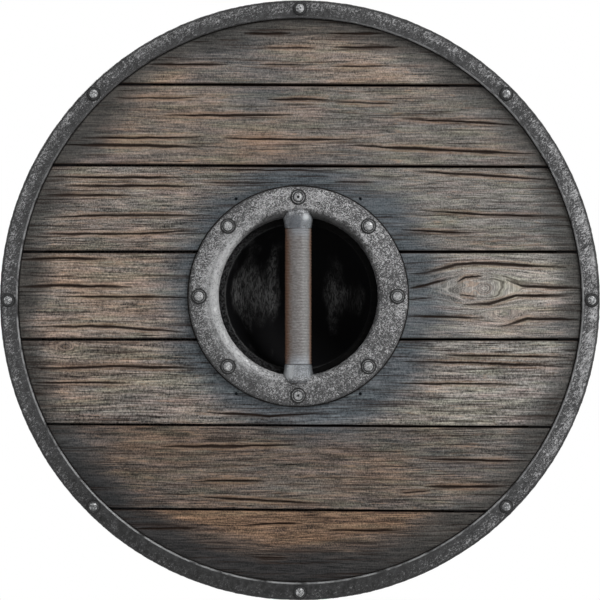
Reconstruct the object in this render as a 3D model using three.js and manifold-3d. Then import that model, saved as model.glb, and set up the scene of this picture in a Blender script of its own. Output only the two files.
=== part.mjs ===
// A round larp shield: two layers of foam planks glued to a stiff core board, a U-shaped edging riveted round the
// rim, and a hand opening with a flanged ring, a hollow boss and one grip screwed across it.
// Millimetres. +X is to the right when looking at the hand side, +Y points out of the front, +Z is up, and the
// origin is the middle of the grip.

import * as THREE from 'three';
import { ConvexGeometry } from 'three/addons/geometries/ConvexGeometry.js';
import { mergeVertices, toCreasedNormals } from 'three/addons/utils/BufferGeometryUtils.js';
import Module from 'manifold-3d';

const wasm = await Module();
wasm.setup();

// Disc and board stack
const SHIELD_RADIUS = 300;
const GRIP_RISE = 4; // the grip's middle sits this far above the disc's centre
const GRIP_SHIFT = 1.7; // and this far to its left
const PLANK_THICKNESS = 8;
const CORE_THICKNESS = 6;
const EDGE_PADDING_WIDTH = 34.2; // from the core board's edge out to the planks' edge
const GLUE_LINE = 0.3; // between glued or clamped faces
const FIT = 0.3; // round whatever passes through or sits in a piece

// Planks: three seams above the grip's middle and three below, each with its distance from it at the left and right
// of the disc. The outer seam's is in shares of the disc's radius, the one past the ring in shares of the way from the
// ring's edge to the disc's, and the one that meets the opening in shares of the opening's radius
const SEAMS_ABOVE_SHARES = { outer: [0.708, 0.7], pastRing: [0.113, 0.1], opening: [0.562, 0.562] };
const SEAMS_BELOW_SHARES = { outer: [0.705, 0.72], pastRing: [0.092, 0.111], opening: [0.547, 0.547] };
const SEAM_GAP = 2.2;
const PLANK_CHAMFER = 1.2;
const MIDDLE_PLANK = 4; // counted from the top, the one that the hand opening cuts in two

// Main cracks: V-grooves in the planks' outer faces
const CRACK_WIDTH = 2.8;
const CRACK_DEPTH = 2.4;
const CRACK_TAPER_SHARE = 0.15; // of a crack's first and last stretch
// The hand side's, plank by plank from the top. Each point of a course has its place across the disc, in shares of the
// disc's radius, and its height in the plank, in shares of the plank's height
const HAND_CRACK_SHARES = [
  [
    [[-0.19, 0.63], [-0.03, 0.63]],
    [[0.09, 0.63], [0.28, 0.64]],
    [[-0.5, 0.24], [-0.24, 0.24]],
    [[0.11, 0.46], [0.33, 0.46]],
  ],
  [
    [[-0.11, 0.83], [0.1, 0.83]],
    [[-0.46, 0.62], [-0.02, 0.63]],
    [[0.33, 0.59], [0.53, 0.56], [0.73, 0.51]],
    [[-0.73, 0.33], [-0.33, 0.34]],
    [[-0.26, 0.33], [0.18, 0.32]],
    [[-0.79, 0.24], [-0.52, 0.24], [-0.33, 0.22]],
    [[0.16, 0.25], [0.33, 0.22], [0.53, 0.19], [0.79, 0.15]],
  ],
  [
    [[0.37, 0.96], [0.6, 0.91], [0.84, 0.86]],
    [[-0.85, 0.87], [-0.39, 0.87]],
    [[-0.79, 0.77], [-0.33, 0.77]],
    [[-0.85, 0.66], [-0.56, 0.66]],
    [[0.39, 0.49], [0.63, 0.43], [0.89, 0.42]],
    [[-0.86, 0.39], [-0.63, 0.42], [-0.33, 0.42]],
    [[0.33, 0.25], [0.57, 0.21]],
    [[-0.87, 0.2], [-0.53, 0.2], [-0.34, 0.24]],
  ],
  [
    [[-0.94, 0.92], [-0.8, 0.94], [-0.64, 0.93]],
    [[-0.94, 0.6], [-0.82, 0.62], [-0.56, 0.6]],
    [[-0.82, 0.49], [-0.37, 0.48]],
    [[-0.89, 0.14], [-0.63, 0.14], [-0.37, 0.07]],
    [[0.36, 0.75], [0.42, 0.76], [0.52, 0.86], [0.58, 0.88], [0.72, 0.86], [0.89, 0.83]],
    [[0.36, 0.58], [0.42, 0.62], [0.49, 0.69]],
    [[0.52, 0.65], [0.55, 0.71], [0.61, 0.73]],
    [[0.68, 0.7], [0.74, 0.61], [0.94, 0.58]],
    [[0.54, 0.39], [0.63, 0.4], [0.72, 0.5], [0.91, 0.5]],
    [[0.35, 0.26], [0.62, 0.24]],
    [[0.66, 0.13], [0.7, 0.16], [0.76, 0.23], [0.93, 0.22]],
  ],
  [
    [[0.46, 0.83], [0.91, 0.8]],
    [[0.33, 0.75], [0.57, 0.74], [0.89, 0.69]],
    [[-0.91, 0.67], [-0.8, 0.66], [-0.63, 0.69], [-0.33, 0.67]],
    [[0.33, 0.49], [0.73, 0.49]],
    [[-0.89, 0.49], [-0.56, 0.49]],
    [[-0.32, 0.14], [-0.1, 0.1], [0.07, 0.13]],
  ],
  [
    [[-0.47, 0.75], [-0.33, 0.75], [-0.01, 0.78]],
    [[0.39, 0.62], [0.76, 0.6]],
    [[-0.34, 0.33], [-0.12, 0.34]],
    [[0.41, 0.28], [0.69, 0.29]],
    [[-0.34, 0.14], [0.07, 0.07]],
  ],
  [
    [[-0.18, 0.84], [0.01, 0.86]],
    [[-0.56, 0.78], [-0.33, 0.8]],
    [[0.09, 0.78], [0.34, 0.78]],
  ],
];
// The front's are spread by multiples of four steps that never fall into line. Across the disc they are in shares of
// its radius, and up the plank in shares of the plank's height
const FRONT_CRACKS_PER_PLANK = 6;
const FRONT_CRACK_START_SHARES = { least: -0.95, most: 0.35, step: 0.755 };
const FRONT_CRACK_LENGTH_SHARES = { least: 0.22, most: 0.6, step: 0.57 };
const FRONT_CRACK_HEIGHT_SHARES = { least: 0.1, most: 0.9, step: 0.618 };
const FRONT_CRACK_CLIMB_SHARES = { least: -0.03, most: 0.03, step: 0.382 };

// Edging
const EDGING_WIDTH = 18.5;
const CHEEK_THICKNESS = 4.5;
const WEB_THICKNESS = 3.5;
const EDGING_ROUNDING = 3;
const EDGING_LIP_ROUNDING = 2;

// Hand opening, its ring and the locating holes beside it
const HAND_OPENING_RADIUS = 79;
const RING_OVERHANG = 1; // how far the ring reaches inside the hole in the planks
const RING_LIP_WIDTH = 8; // from the opening out to the lip's crest
const RING_LIP_HEIGHT = 2; // the crest's height over the land
const RING_LIP_SLOPE = 5; // from the crest out to the land
const RING_LAND_WIDTH = 18;
const RING_FASTENER_INSET = 11; // from the ring's edge
const RING_THICKNESS = 5;
const RING_ROUNDING = 3;
const PIN_HOLE_RADIUS = 1.5;
const PIN_HOLE_DEPTH = 5;
const PIN_HOLE_OFFSET = 5.5; // outside the ring's edge
const PIN_HOLE_ANGLE = THREE.MathUtils.degToRad(57.5); // above or below the level line through the grip's middle

// Boss and its liner
const DOME_HEIGHT = 64;
const DOME_WALL = 6;
const DOME_FLANGE_THICKNESS = 5;
const LINER_WALL = 6;

// Grip
const BAR_RADIUS = 9;
const TAB_WIDTH = 16;
const TAB_END_MARGIN = 9.5; // from the screw to the tab's end
const BAR_SHOULDER_INSET = 7; // how far inside the hand opening the round bar ends
const SLEEVE_WALL = 4.2;
const RIB_PITCH = 2.9;
const RIB_DEPTH = 0.6;
const COLLAR_LENGTH = 18.7;
const COLLAR_FLARE = 2;
// Along the collar from its sleeve end, and out past the sleeve: shares of COLLAR_LENGTH and COLLAR_FLARE
const COLLAR_OUTLINE_SHARES = [
  [0, 0.1],
  [0.3, 0.4],
  [0.62, 1],
  [0.85, 0.8],
  [1, -0.6],
];

// Fasteners
const SHANK_RADIUS = 2;
const ROVE_THICKNESS = 1;
const ROVE_CHAMFER = 0.4;
const RIM_RIVET_COUNT = 8;
const RIM_RIVET_INSET = 9; // from the shield's edge
const RIM_HEAD_RADIUS = 4.4;
const RIM_HEAD_HEIGHT = 2.6;
const RIM_ROVE_RADIUS = 5.9;
const BOSS_FASTENER_COUNT = 8;
const BOSS_HEAD_RADIUS = 4.7;
const BOSS_HEAD_HEIGHT = 2.8;
const BOSS_ROVE_RADIUS = 6.7;
const SCREW_SHANK_RADIUS = 2.5;
const SCREW_FLANGE_THICKNESS = 1.2;
const SOCKET_RADIUS = 1.7;
const SOCKET_DEPTH = 2;
const NUT_RADIUS = 5.2;
const NUT_HEX_HEIGHT = 3.5;
const NUT_DOME_HEIGHT = 4;
const THREAD_REACH = 4.5; // how far the screw stands into its nut

// Facet counts
const DISC_SIDES = 72;
const BOSS_SIDES = 48;
const GRIP_SIDES = 12;
const FASTENER_SIDES = 10;
const HEX_SIDES = 6;
const CORNER_STEPS = 2;
const LIP_STEPS = 4;
const DOME_STEPS = 7;
const LINER_STEPS = 5;

const OVERRUN = 20; // how far a cutting solid stands past what it cuts
const MERGE_TOLERANCE = 0.0001;
const CREASE_ANGLE = THREE.MathUtils.degToRad(35);

// Levels along Y, from the hand side to the front
const handFace = -PLANK_THICKNESS / 2;
const coreBack = PLANK_THICKNESS / 2 + GLUE_LINE;
const coreFront = coreBack + CORE_THICKNESS;
const frontPlankBack = coreFront + GLUE_LINE;
const frontFace = frontPlankBack + PLANK_THICKNESS;
const ringBase = handFace - GLUE_LINE;
const ringFace = ringBase - RING_THICKNESS;
const flangeBase = frontFace + GLUE_LINE;
const flangeFace = flangeBase + DOME_FLANGE_THICKNESS;
const edgingHandFace = ringBase - CHEEK_THICKNESS;
const edgingFrontFace = flangeBase + CHEEK_THICKNESS;
const stackDepth = flangeFace - ringFace + CHEEK_THICKNESS;

// Radii in the disc's plane
const boardRadius = SHIELD_RADIUS - WEB_THICKNESS - FIT;
const plankHoleRadius = HAND_OPENING_RADIUS + RING_OVERHANG;
const linerRadius = plankHoleRadius - FIT;
const linerBore = linerRadius - LINER_WALL;
const coreHoleRadius = linerBore + FIT;
const ringCrestRadius = HAND_OPENING_RADIUS + RING_LIP_WIDTH;
const ringLandStart = ringCrestRadius + RING_LIP_SLOPE;
const ringRadius = ringLandStart + RING_LAND_WIDTH;
const bossCircleRadius = ringRadius - RING_FASTENER_INSET;
const rimCircleRadius = SHIELD_RADIUS - RIM_RIVET_INSET;
const coreRadius = boardRadius - EDGE_PADDING_WIDTH;
const ringToRim = SHIELD_RADIUS - ringRadius;

// The heights of one side's seams at the left and right of the disc, from the rim in; side is 1 above and -1 below
const seamsOnSide = ({ outer, pastRing, opening }, side) => [
  outer.map((share) => side * share * SHIELD_RADIUS),
  pastRing.map((share) => side * (ringRadius + share * ringToRim)),
  opening.map((share) => side * share * HAND_OPENING_RADIUS),
];
const seamHeights = [...seamsOnSide(SEAMS_ABOVE_SHARES, 1), ...seamsOnSide(SEAMS_BELOW_SHARES, -1).reverse()];

// Heights along the grip
const sleeveRadius = BAR_RADIUS + FIT + SLEEVE_WALL;
const collarEnd = ringCrestRadius;
const collarStart = collarEnd - COLLAR_LENGTH;
const sleeveHalfLength = collarStart - FIT;
const shoulder = HAND_OPENING_RADIUS - BAR_SHOULDER_INSET;
const tabEnd = bossCircleRadius + TAB_END_MARGIN;

const discCentre = new THREE.Vector3(GRIP_SHIFT, 0, -GRIP_RISE);
const gripCentre = new THREE.Vector3(0, 0, 0);

// Makes a closed solid from a three.js geometry
function solid(geometry) {
  geometry.deleteAttribute('normal');
  geometry.deleteAttribute('uv');
  const merged = mergeVertices(geometry, MERGE_TOLERANCE);
  const corners = merged.index.array;
  const kept = [];
  for (let first = 0; first < corners.length; first += 3) {
    const [a, b, c] = corners.subarray(first, first + 3);
    if (a !== b && b !== c && c !== a) kept.push(a, b, c);
  }
  const vertProperties = new Float32Array(merged.attributes.position.array);
  const triVerts = new Uint32Array(kept);
  return new wasm.Manifold(new wasm.Mesh({ numProp: 3, vertProperties, triVerts }));
}

// Turns a finished solid into a named mesh
function mesh(name, body, material) {
  const result = body.getMesh();
  const geometry = new THREE.BufferGeometry();
  geometry.setAttribute('position', new THREE.BufferAttribute(new Float32Array(result.vertProperties), result.numProp));
  geometry.setIndex(new THREE.BufferAttribute(new Uint32Array(result.triVerts), 1));
  const part = new THREE.Mesh(toCreasedNormals(geometry, CREASE_ANGLE), material);
  part.name = name;
  return part;
}

function finish(color, roughness, metalness) {
  return new THREE.MeshStandardMaterial({ color, roughness, metalness });
}

function point(radius, depth) {
  return new THREE.Vector2(radius, depth);
}

// Points on an elliptical arc, both ends included
function arc(centre, radiusX, radiusY, start, end, steps) {
  const curve = new THREE.EllipseCurve(centre.x, centre.y, radiusX, radiusY, start, end, end < start);
  return curve.getPoints(steps);
}

// Spins an outline of (radius, depth) points about the Y axis, whichever way round the outline runs
function spun(outline, sides, closed) {
  const points = closed ? [...outline, outline[0]] : outline;
  const ordered = THREE.ShapeUtils.isClockWise(outline) ? [...points].reverse() : points;
  return new THREE.LatheGeometry(ordered, sides);
}

function ringSolid(outline, sides, centre) {
  return solid(spun(outline, sides, true).translate(centre.x, centre.y, centre.z));
}

function spindleSolid(outline, sides, centre) {
  return solid(spun(outline, sides, false).translate(centre.x, centre.y, centre.z));
}

// A round bar along Y between two depths
function post(radius, back, front, sides, centre) {
  const geometry = new THREE.CylinderGeometry(radius, radius, front - back, sides);
  return solid(geometry.translate(centre.x, (back + front) / 2, centre.z));
}

// A drill along Y that goes right through the stack
function drill(radius, centre, sides = FASTENER_SIDES) {
  return post(radius, ringFace - stackDepth, flangeFace + stackDepth, sides, centre);
}

function cutAll(body, cutters) {
  return cutters.reduce((rest, cutter) => rest.subtract(cutter), body);
}

// Evenly spaced points round a circle in the disc's plane, the first at the top, going clockwise from the hand side
function circlePlaces(centre, radius, count) {
  return Array.from({ length: count }, (_, index) => {
    const angle = (2 * Math.PI * index) / count;
    return new THREE.Vector3(centre.x + radius * Math.sin(angle), 0, centre.z + radius * Math.cos(angle));
  });
}

const rimPlaces = circlePlaces(discCentre, rimCircleRadius, RIM_RIVET_COUNT);
const bossPlaces = circlePlaces(gripCentre, bossCircleRadius, BOSS_FASTENER_COUNT);
const isScrewPlace = (place) => Math.abs(place.x) < BAR_RADIUS;
const screwPlaces = bossPlaces.filter(isScrewPlace);
const rivetPlaces = bossPlaces.filter((place) => !isScrewPlace(place));

const rimDrills = rimPlaces.map((place) => drill(SHANK_RADIUS + FIT, place));
const screwDrills = screwPlaces.map((place) => drill(SCREW_SHANK_RADIUS + FIT, place));
const bossDrills = [...rivetPlaces.map((place) => drill(SHANK_RADIUS + FIT, place)), ...screwDrills];

// The edging: a U-shaped channel that wraps the boards' edge, with rounded outer corners and inner lips
function edging() {
  const back = edgingHandFace;
  const front = edgingFrontFace;
  const lip = SHIELD_RADIUS - EDGING_WIDTH;
  const cornerRadius = SHIELD_RADIUS - EDGING_ROUNDING;
  const outline = [
    ...arc(point(cornerRadius, back + EDGING_ROUNDING), EDGING_ROUNDING, EDGING_ROUNDING,
      0, -Math.PI / 2, CORNER_STEPS),
    point(lip + EDGING_LIP_ROUNDING, back),
    point(lip, back + EDGING_LIP_ROUNDING),
    point(lip, ringBase),
    point(boardRadius + FIT, ringBase),
    point(boardRadius + FIT, flangeBase),
    point(lip, flangeBase),
    point(lip, front - EDGING_LIP_ROUNDING),
    point(lip + EDGING_LIP_ROUNDING, front),
    ...arc(point(cornerRadius, front - EDGING_ROUNDING), EDGING_ROUNDING, EDGING_ROUNDING,
      Math.PI / 2, 0, CORNER_STEPS),
  ];
  return cutAll(ringSolid(outline, DISC_SIDES, discCentre), rimDrills);
}

// A flat ring of board between two depths
function annulus(inner, outer, back, front, innerCentre, outerCentre, innerSides, outerSides) {
  const disc = post(outer, back, front, outerSides, outerCentre);
  return disc.subtract(post(inner, back - OVERRUN, front + OVERRUN, innerSides, innerCentre));
}

function coreBoard() {
  const board = annulus(coreHoleRadius, coreRadius, coreBack, coreFront, gripCentre, discCentre, BOSS_SIDES, DISC_SIDES);
  return cutAll(board, bossDrills);
}

function edgePadding() {
  const inner = coreRadius + FIT;
  const ring = annulus(inner, boardRadius, coreBack, coreFront, discCentre, discCentre, DISC_SIDES, DISC_SIDES);
  return cutAll(ring, rimDrills);
}

// A straight strip whose two long edges may climb from left to right, chamfered along its outer face
function strip(lower, upper, left, right, innerFace, outerFace) {
  const outward = Math.sign(outerFace - innerFace);
  const chamfer = Math.min(PLANK_CHAMFER, PLANK_THICKNESS / 2);
  const corners = [left, right].flatMap((x) => {
    const low = lower(x);
    const high = upper(x);
    return [
      new THREE.Vector3(x, innerFace, low),
      new THREE.Vector3(x, innerFace, high),
      new THREE.Vector3(x, outerFace - outward * chamfer, low),
      new THREE.Vector3(x, outerFace - outward * chamfer, high),
      new THREE.Vector3(x, outerFace, low + chamfer),
      new THREE.Vector3(x, outerFace, high - chamfer),
    ];
  });
  return solid(new ConvexGeometry(corners));
}

// The height of a seam's middle line at a place across the disc
function seamHeight(seam, x) {
  const [left, right] = seamHeights[seam];
  return THREE.MathUtils.lerp(left, right, (x - discCentre.x + SHIELD_RADIUS) / (2 * SHIELD_RADIUS));
}

function plankLimits(number) {
  const last = seamHeights.length + 1;
  const reach = SHIELD_RADIUS + GRIP_RISE + OVERRUN;
  return {
    upper: (x) => (number === 1 ? reach : seamHeight(number - 2, x) - SEAM_GAP / 2),
    lower: (x) => (number === last ? -reach : seamHeight(number - 1, x) + SEAM_GAP / 2),
  };
}

// A point of a crack's course, from its shares
function crackPoint(number, [across, height]) {
  const x = discCentre.x + across * SHIELD_RADIUS;
  const { lower, upper } = plankLimits(number);
  const low = Math.max(lower(x), discCentre.z - boardRadius);
  const high = Math.min(upper(x), discCentre.z + boardRadius);
  return new THREE.Vector3(x, 0, THREE.MathUtils.lerp(low, high, height));
}

// A crack's cutter: a V that stands out of the face as far as it goes in, and that narrows to a point at both ends
function crack(course, outerFace, outward) {
  const lip = (place, aside) => new THREE.Vector3(place.x, outerFace + outward * CRACK_DEPTH, place.z + aside);
  const section = (place) => [
    lip(place, CRACK_WIDTH),
    lip(place, -CRACK_WIDTH),
    new THREE.Vector3(place.x, outerFace - outward * CRACK_DEPTH, place.z),
  ];
  const first = course[0];
  const last = course[course.length - 1];
  const stations = [
    first.clone().lerp(course[1], CRACK_TAPER_SHARE),
    ...course.slice(1, -1),
    last.clone().lerp(course[course.length - 2], CRACK_TAPER_SHARE),
  ];
  const sections = [[lip(first, 0)], ...stations.map(section), [lip(last, 0)]];
  const stretches = sections.slice(1).map((next, index) => solid(new ConvexGeometry([...sections[index], ...next])));
  return wasm.Manifold.union(stretches);
}

function spread({ least, most, step }, index) {
  return THREE.MathUtils.lerp(least, most, (index * step) % 1);
}

function handCrackShares(number) {
  return HAND_CRACK_SHARES[number - 1];
}

function frontCrackShares(number) {
  return Array.from({ length: FRONT_CRACKS_PER_PLANK }, (_, order) => {
    const index = number * FRONT_CRACKS_PER_PLANK + order;
    const start = spread(FRONT_CRACK_START_SHARES, index);
    const height = spread(FRONT_CRACK_HEIGHT_SHARES, index);
    const end = start + spread(FRONT_CRACK_LENGTH_SHARES, index);
    return [[start, height], [end, height + spread(FRONT_CRACK_CLIMB_SHARES, index)]];
  });
}

// One layer of planks, each cut to the disc, the hand opening and its fasteners, and cracked; crackShares gives a
// plank's cracks from its number
function plankLayer(prefix, innerFace, outerFace, crackShares, extraCutters, material) {
  const back = Math.min(innerFace, outerFace);
  const front = Math.max(innerFace, outerFace);
  const disc = post(boardRadius, back - OVERRUN, front + OVERRUN, DISC_SIDES, discCentre);
  const opening = post(plankHoleRadius, back - OVERRUN, front + OVERRUN, BOSS_SIDES, gripCentre);
  const cutters = [opening, ...rimDrills, ...bossDrills, ...extraCutters];
  const edge = SHIELD_RADIUS + GRIP_SHIFT + OVERRUN;
  const meshes = [];
  for (let number = 1; number <= seamHeights.length + 1; number += 1) {
    const { lower, upper } = plankLimits(number);
    const cracks = crackShares(number).map((shares) => {
      const course = shares.map((share) => crackPoint(number, share));
      return crack(course, outerFace, Math.sign(outerFace - innerFace));
    });
    const spans = number === MIDDLE_PLANK
      ? [['_left', -edge, -SEAM_GAP / 2], ['_right', SEAM_GAP / 2, edge]]
      : [['', -edge, edge]];
    for (const [suffix, left, right] of spans) {
      const plank = strip(lower, upper, left, right, innerFace, outerFace).intersect(disc);
      meshes.push(mesh(`${prefix}_${number}${suffix}`, cutAll(plank, [...cutters, ...cracks]), material));
    }
  }
  return meshes;
}

// The four small blind holes beside the ring
function pinHoles() {
  const radius = ringRadius + PIN_HOLE_OFFSET;
  return [1, -1].flatMap((side) => [1, -1].map((level) => {
    const place = new THREE.Vector3(
      side * radius * Math.cos(PIN_HOLE_ANGLE),
      0,
      level * radius * Math.sin(PIN_HOLE_ANGLE),
    );
    return post(PIN_HOLE_RADIUS, handFace - OVERRUN, handFace + PIN_HOLE_DEPTH, FASTENER_SIDES, place);
  }));
}

// The grip's bar: round between its shoulders, with a flat tab at each end that lies in the planks' thickness
function bar(grow) {
  const round = new THREE.CylinderGeometry(BAR_RADIUS + grow, BAR_RADIUS + grow, 2 * (shoulder + grow), GRIP_SIDES);
  const tabs = new THREE.BoxGeometry(
    TAB_WIDTH + 2 * grow,
    PLANK_THICKNESS - 2 * GLUE_LINE + 2 * grow,
    2 * (tabEnd + grow),
  );
  return solid(round.rotateX(Math.PI / 2)).add(solid(tabs));
}

// One flared collar about the grip's line, before it is fitted to its neighbours; side is 1 above and -1 below
function collarBlank(side, grow) {
  const outline = COLLAR_OUTLINE_SHARES.map(([along, out]) => {
    const growAlong = along === 1 ? grow : 0;
    return point(sleeveRadius + out * COLLAR_FLARE + grow, collarStart + along * COLLAR_LENGTH + growAlong);
  });
  const closed = [point(0, collarStart), ...outline, point(0, collarEnd + grow)];
  return solid(spun(closed, GRIP_SIDES, false).rotateX((side * Math.PI) / 2));
}

function collar(side) {
  const reach = ringRadius + OVERRUN;
  const deep = stackDepth + OVERRUN;
  const seat = ringSolid([
    point(linerBore - FIT, handFace + PLANK_THICKNESS),
    point(plankHoleRadius - FIT, handFace + PLANK_THICKNESS),
    point(plankHoleRadius - FIT, ringBase),
    point(reach, ringBase),
    point(reach, deep),
    point(linerBore - FIT, deep),
  ], BOSS_SIDES, gripCentre);
  return collarBlank(side, 0).subtract(seat).subtract(bar(FIT));
}

// The ribbed sleeve: a rib every RIB_PITCH, spaced out evenly over its length
function sleeve() {
  const bore = BAR_RADIUS + FIT;
  const ribs = Math.floor((2 * sleeveHalfLength) / RIB_PITCH);
  const pitch = (2 * sleeveHalfLength) / ribs;
  const outline = [point(bore, sleeveHalfLength), point(bore, -sleeveHalfLength)];
  for (let rib = 0; rib < ribs; rib += 1) {
    const start = rib * pitch - sleeveHalfLength;
    outline.push(point(sleeveRadius - RIB_DEPTH, start), point(sleeveRadius, start + pitch / 2));
  }
  outline.push(point(sleeveRadius - RIB_DEPTH, sleeveHalfLength));
  return solid(spun(outline, GRIP_SIDES, true).rotateX(Math.PI / 2));
}

// The ring round the hand opening: a flat land for the fasteners, rising to a lip that rolls over into the opening
function handRing() {
  const lipDepth = RING_THICKNESS + RING_LIP_HEIGHT;
  const outline = [
    ...arc(point(ringCrestRadius, ringBase), RING_LIP_WIDTH, lipDepth, Math.PI, 1.5 * Math.PI, LIP_STEPS),
    point(ringLandStart, ringFace),
    ...arc(point(ringRadius - RING_ROUNDING, ringFace + RING_ROUNDING), RING_ROUNDING, RING_ROUNDING,
      -Math.PI / 2, 0, CORNER_STEPS),
    point(ringRadius, ringBase),
  ];
  const collars = [1, -1].map((side) => collarBlank(side, FIT));
  return cutAll(ringSolid(outline, BOSS_SIDES, gripCentre), [...bossDrills, ...collars]);
}

// The boss: a hollow half-ellipsoid with a flat flange
function bossDome() {
  const base = point(0, flangeBase);
  const outerRadius = plankHoleRadius + DOME_WALL;
  const start = Math.asin(DOME_FLANGE_THICKNESS / DOME_HEIGHT);
  const outline = [
    ...arc(base, outerRadius, DOME_HEIGHT, Math.PI / 2, start, DOME_STEPS),
    ...arc(point(ringRadius - RING_ROUNDING, flangeFace - RING_ROUNDING), RING_ROUNDING, RING_ROUNDING,
      Math.PI / 2, 0, CORNER_STEPS),
    point(ringRadius, flangeBase),
    ...arc(base, plankHoleRadius, DOME_HEIGHT - DOME_WALL, 0, Math.PI / 2, DOME_STEPS),
  ];
  return cutAll(spindleSolid(outline, BOSS_SIDES, gripCentre), bossDrills);
}

// The liner: a foam cup inside the boss, its open edge on the core board's ledge; its outside has the same steps as
// the boss's inside, so that the two stay parallel
function bossLiner() {
  const base = point(0, flangeBase);
  const depth = DOME_HEIGHT - DOME_WALL - FIT;
  const outline = [
    ...arc(base, linerBore, depth - LINER_WALL, Math.PI / 2, 0, LINER_STEPS),
    point(linerBore, frontPlankBack),
    point(linerRadius, frontPlankBack),
    ...arc(base, linerRadius, depth, 0, Math.PI / 2, DOME_STEPS),
  ];
  return spindleSolid(outline, BOSS_SIDES, gripCentre);
}

// A low domed end of a fastener: points from the axis out to the rim, direction -1 towards the hand side
function domedEnd(radius, height, seat, direction) {
  return arc(point(0, seat), radius, height, (direction * Math.PI) / 2, 0, CORNER_STEPS);
}

// A rivet domed at both ends; the hand side's end bears on a rove, the front's on the front face
function rivet(place, handSeat, frontSeat, headRadius, headHeight, roveRadius) {
  const headSeat = handSeat - GLUE_LINE - ROVE_THICKNESS - GLUE_LINE;
  const frontHeadSeat = frontSeat + GLUE_LINE;
  const outline = [
    ...domedEnd(headRadius, headHeight, headSeat, -1),
    point(SHANK_RADIUS, headSeat),
    point(SHANK_RADIUS, frontHeadSeat),
    ...domedEnd(roveRadius, headHeight, frontHeadSeat, 1).reverse(),
  ];
  return spindleSolid(outline, FASTENER_SIDES, place);
}

function rove(place, handSeat, radius) {
  const seat = handSeat - GLUE_LINE;
  const outline = [
    point(SHANK_RADIUS + FIT, seat),
    point(radius, seat),
    point(radius - ROVE_CHAMFER, seat - ROVE_THICKNESS),
    point(SHANK_RADIUS + FIT, seat - ROVE_THICKNESS),
  ];
  return ringSolid(outline, FASTENER_SIDES, place);
}

// A flanged button-head screw with a hexagonal socket
function screw(place) {
  const seat = ringFace - GLUE_LINE;
  const head = seat - SCREW_FLANGE_THICKNESS;
  const tip = flangeFace + GLUE_LINE + THREAD_REACH;
  const outline = [
    ...domedEnd(BOSS_HEAD_RADIUS, BOSS_HEAD_HEIGHT, head, -1),
    point(BOSS_ROVE_RADIUS - ROVE_CHAMFER, head),
    point(BOSS_ROVE_RADIUS, seat),
    point(SCREW_SHANK_RADIUS, seat),
    point(SCREW_SHANK_RADIUS, tip),
    point(0, tip),
  ];
  const top = head - BOSS_HEAD_HEIGHT;
  const socket = post(SOCKET_RADIUS, top - OVERRUN, top + SOCKET_DEPTH, HEX_SIDES, place);
  return spindleSolid(outline, FASTENER_SIDES, place).subtract(socket);
}

// The screw's domed nut, a hexagon under a cap, open towards the boss
function nut(place) {
  const seat = flangeFace + GLUE_LINE;
  const hexTop = seat + NUT_HEX_HEIGHT;
  const capRadius = NUT_RADIUS * Math.cos(Math.PI / HEX_SIDES);
  const cap = spindleSolid(
    [point(0, seat), point(capRadius, seat), ...domedEnd(capRadius, NUT_DOME_HEIGHT, hexTop, 1).reverse()],
    FASTENER_SIDES,
    place,
  );
  const bore = post(SCREW_SHANK_RADIUS + FIT, seat - OVERRUN, seat + THREAD_REACH + FIT, FASTENER_SIDES, place);
  return post(NUT_RADIUS, seat, hexTop, HEX_SIDES, place).add(cap).subtract(bore);
}

const plankFoam = finish(0x6c665f, 0.85, 0);
const frontFoam = finish(0x655e56, 0.85, 0);
const ironFoam = finish(0x4c4e50, 0.6, 0.2);
const ringFoam = finish(0x6b6d6d, 0.55, 0.2);
const domeFoam = finish(0x55575a, 0.55, 0.2);
const linerFoam = finish(0x0c0c0d, 0.95, 0);
const paddingFoam = finish(0x1d1d1f, 0.95, 0);
const coreWood = finish(0x2b2824, 0.8, 0);
const barWood = finish(0x7a5a3c, 0.7, 0);
const sleeveLeather = finish(0x6a645e, 0.7, 0);
const collarSilver = finish(0x92979a, 0.5, 0.4);
const rivetIron = finish(0x56585b, 0.5, 0.6);
const roveIron = finish(0x2b2b2d, 0.6, 0.6);

const shield = new THREE.Group();
shield.name = 'larp_shield';

shield.add(
  mesh('core_board', coreBoard(), coreWood),
  mesh('edge_padding', edgePadding(), paddingFoam),
  mesh('rim_edging', edging(), ironFoam),
  ...plankLayer('hand_plank', handFace + PLANK_THICKNESS, handFace, handCrackShares, [...pinHoles(), bar(FIT)], plankFoam),
  ...plankLayer('front_plank', frontPlankBack, frontFace, frontCrackShares, [], frontFoam),
  mesh('hand_ring', handRing(), ringFoam),
  mesh('boss_dome', bossDome(), domeFoam),
  mesh('boss_liner', bossLiner(), linerFoam),
  mesh('grip_bar', cutAll(bar(0), screwDrills), barWood),
  mesh('grip_sleeve', sleeve(), sleeveLeather),
  mesh('grip_collar_top', collar(1), collarSilver),
  mesh('grip_collar_bottom', collar(-1), collarSilver),
);

rimPlaces.forEach((place, index) => {
  const rivetBody = rivet(place, edgingHandFace, edgingFrontFace, RIM_HEAD_RADIUS, RIM_HEAD_HEIGHT, RIM_ROVE_RADIUS);
  shield.add(
    mesh(`rim_rivet_${index + 1}`, rivetBody, rivetIron),
    mesh(`rim_rove_${index + 1}`, rove(place, edgingHandFace, RIM_ROVE_RADIUS), roveIron),
  );
});

rivetPlaces.forEach((place, index) => {
  const rivetBody = rivet(place, ringFace, flangeFace, BOSS_HEAD_RADIUS, BOSS_HEAD_HEIGHT, BOSS_ROVE_RADIUS);
  shield.add(
    mesh(`boss_rivet_${index + 1}`, rivetBody, rivetIron),
    mesh(`boss_rove_${index + 1}`, rove(place, ringFace, BOSS_ROVE_RADIUS), roveIron),
  );
});

screwPlaces.forEach((place) => {
  const end = place.z > 0 ? 'top' : 'bottom';
  shield.add(
    mesh(`grip_screw_${end}`, screw(place), rivetIron),
    mesh(`grip_nut_${end}`, nut(place), rivetIron),
  );
});

export default shield;
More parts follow.
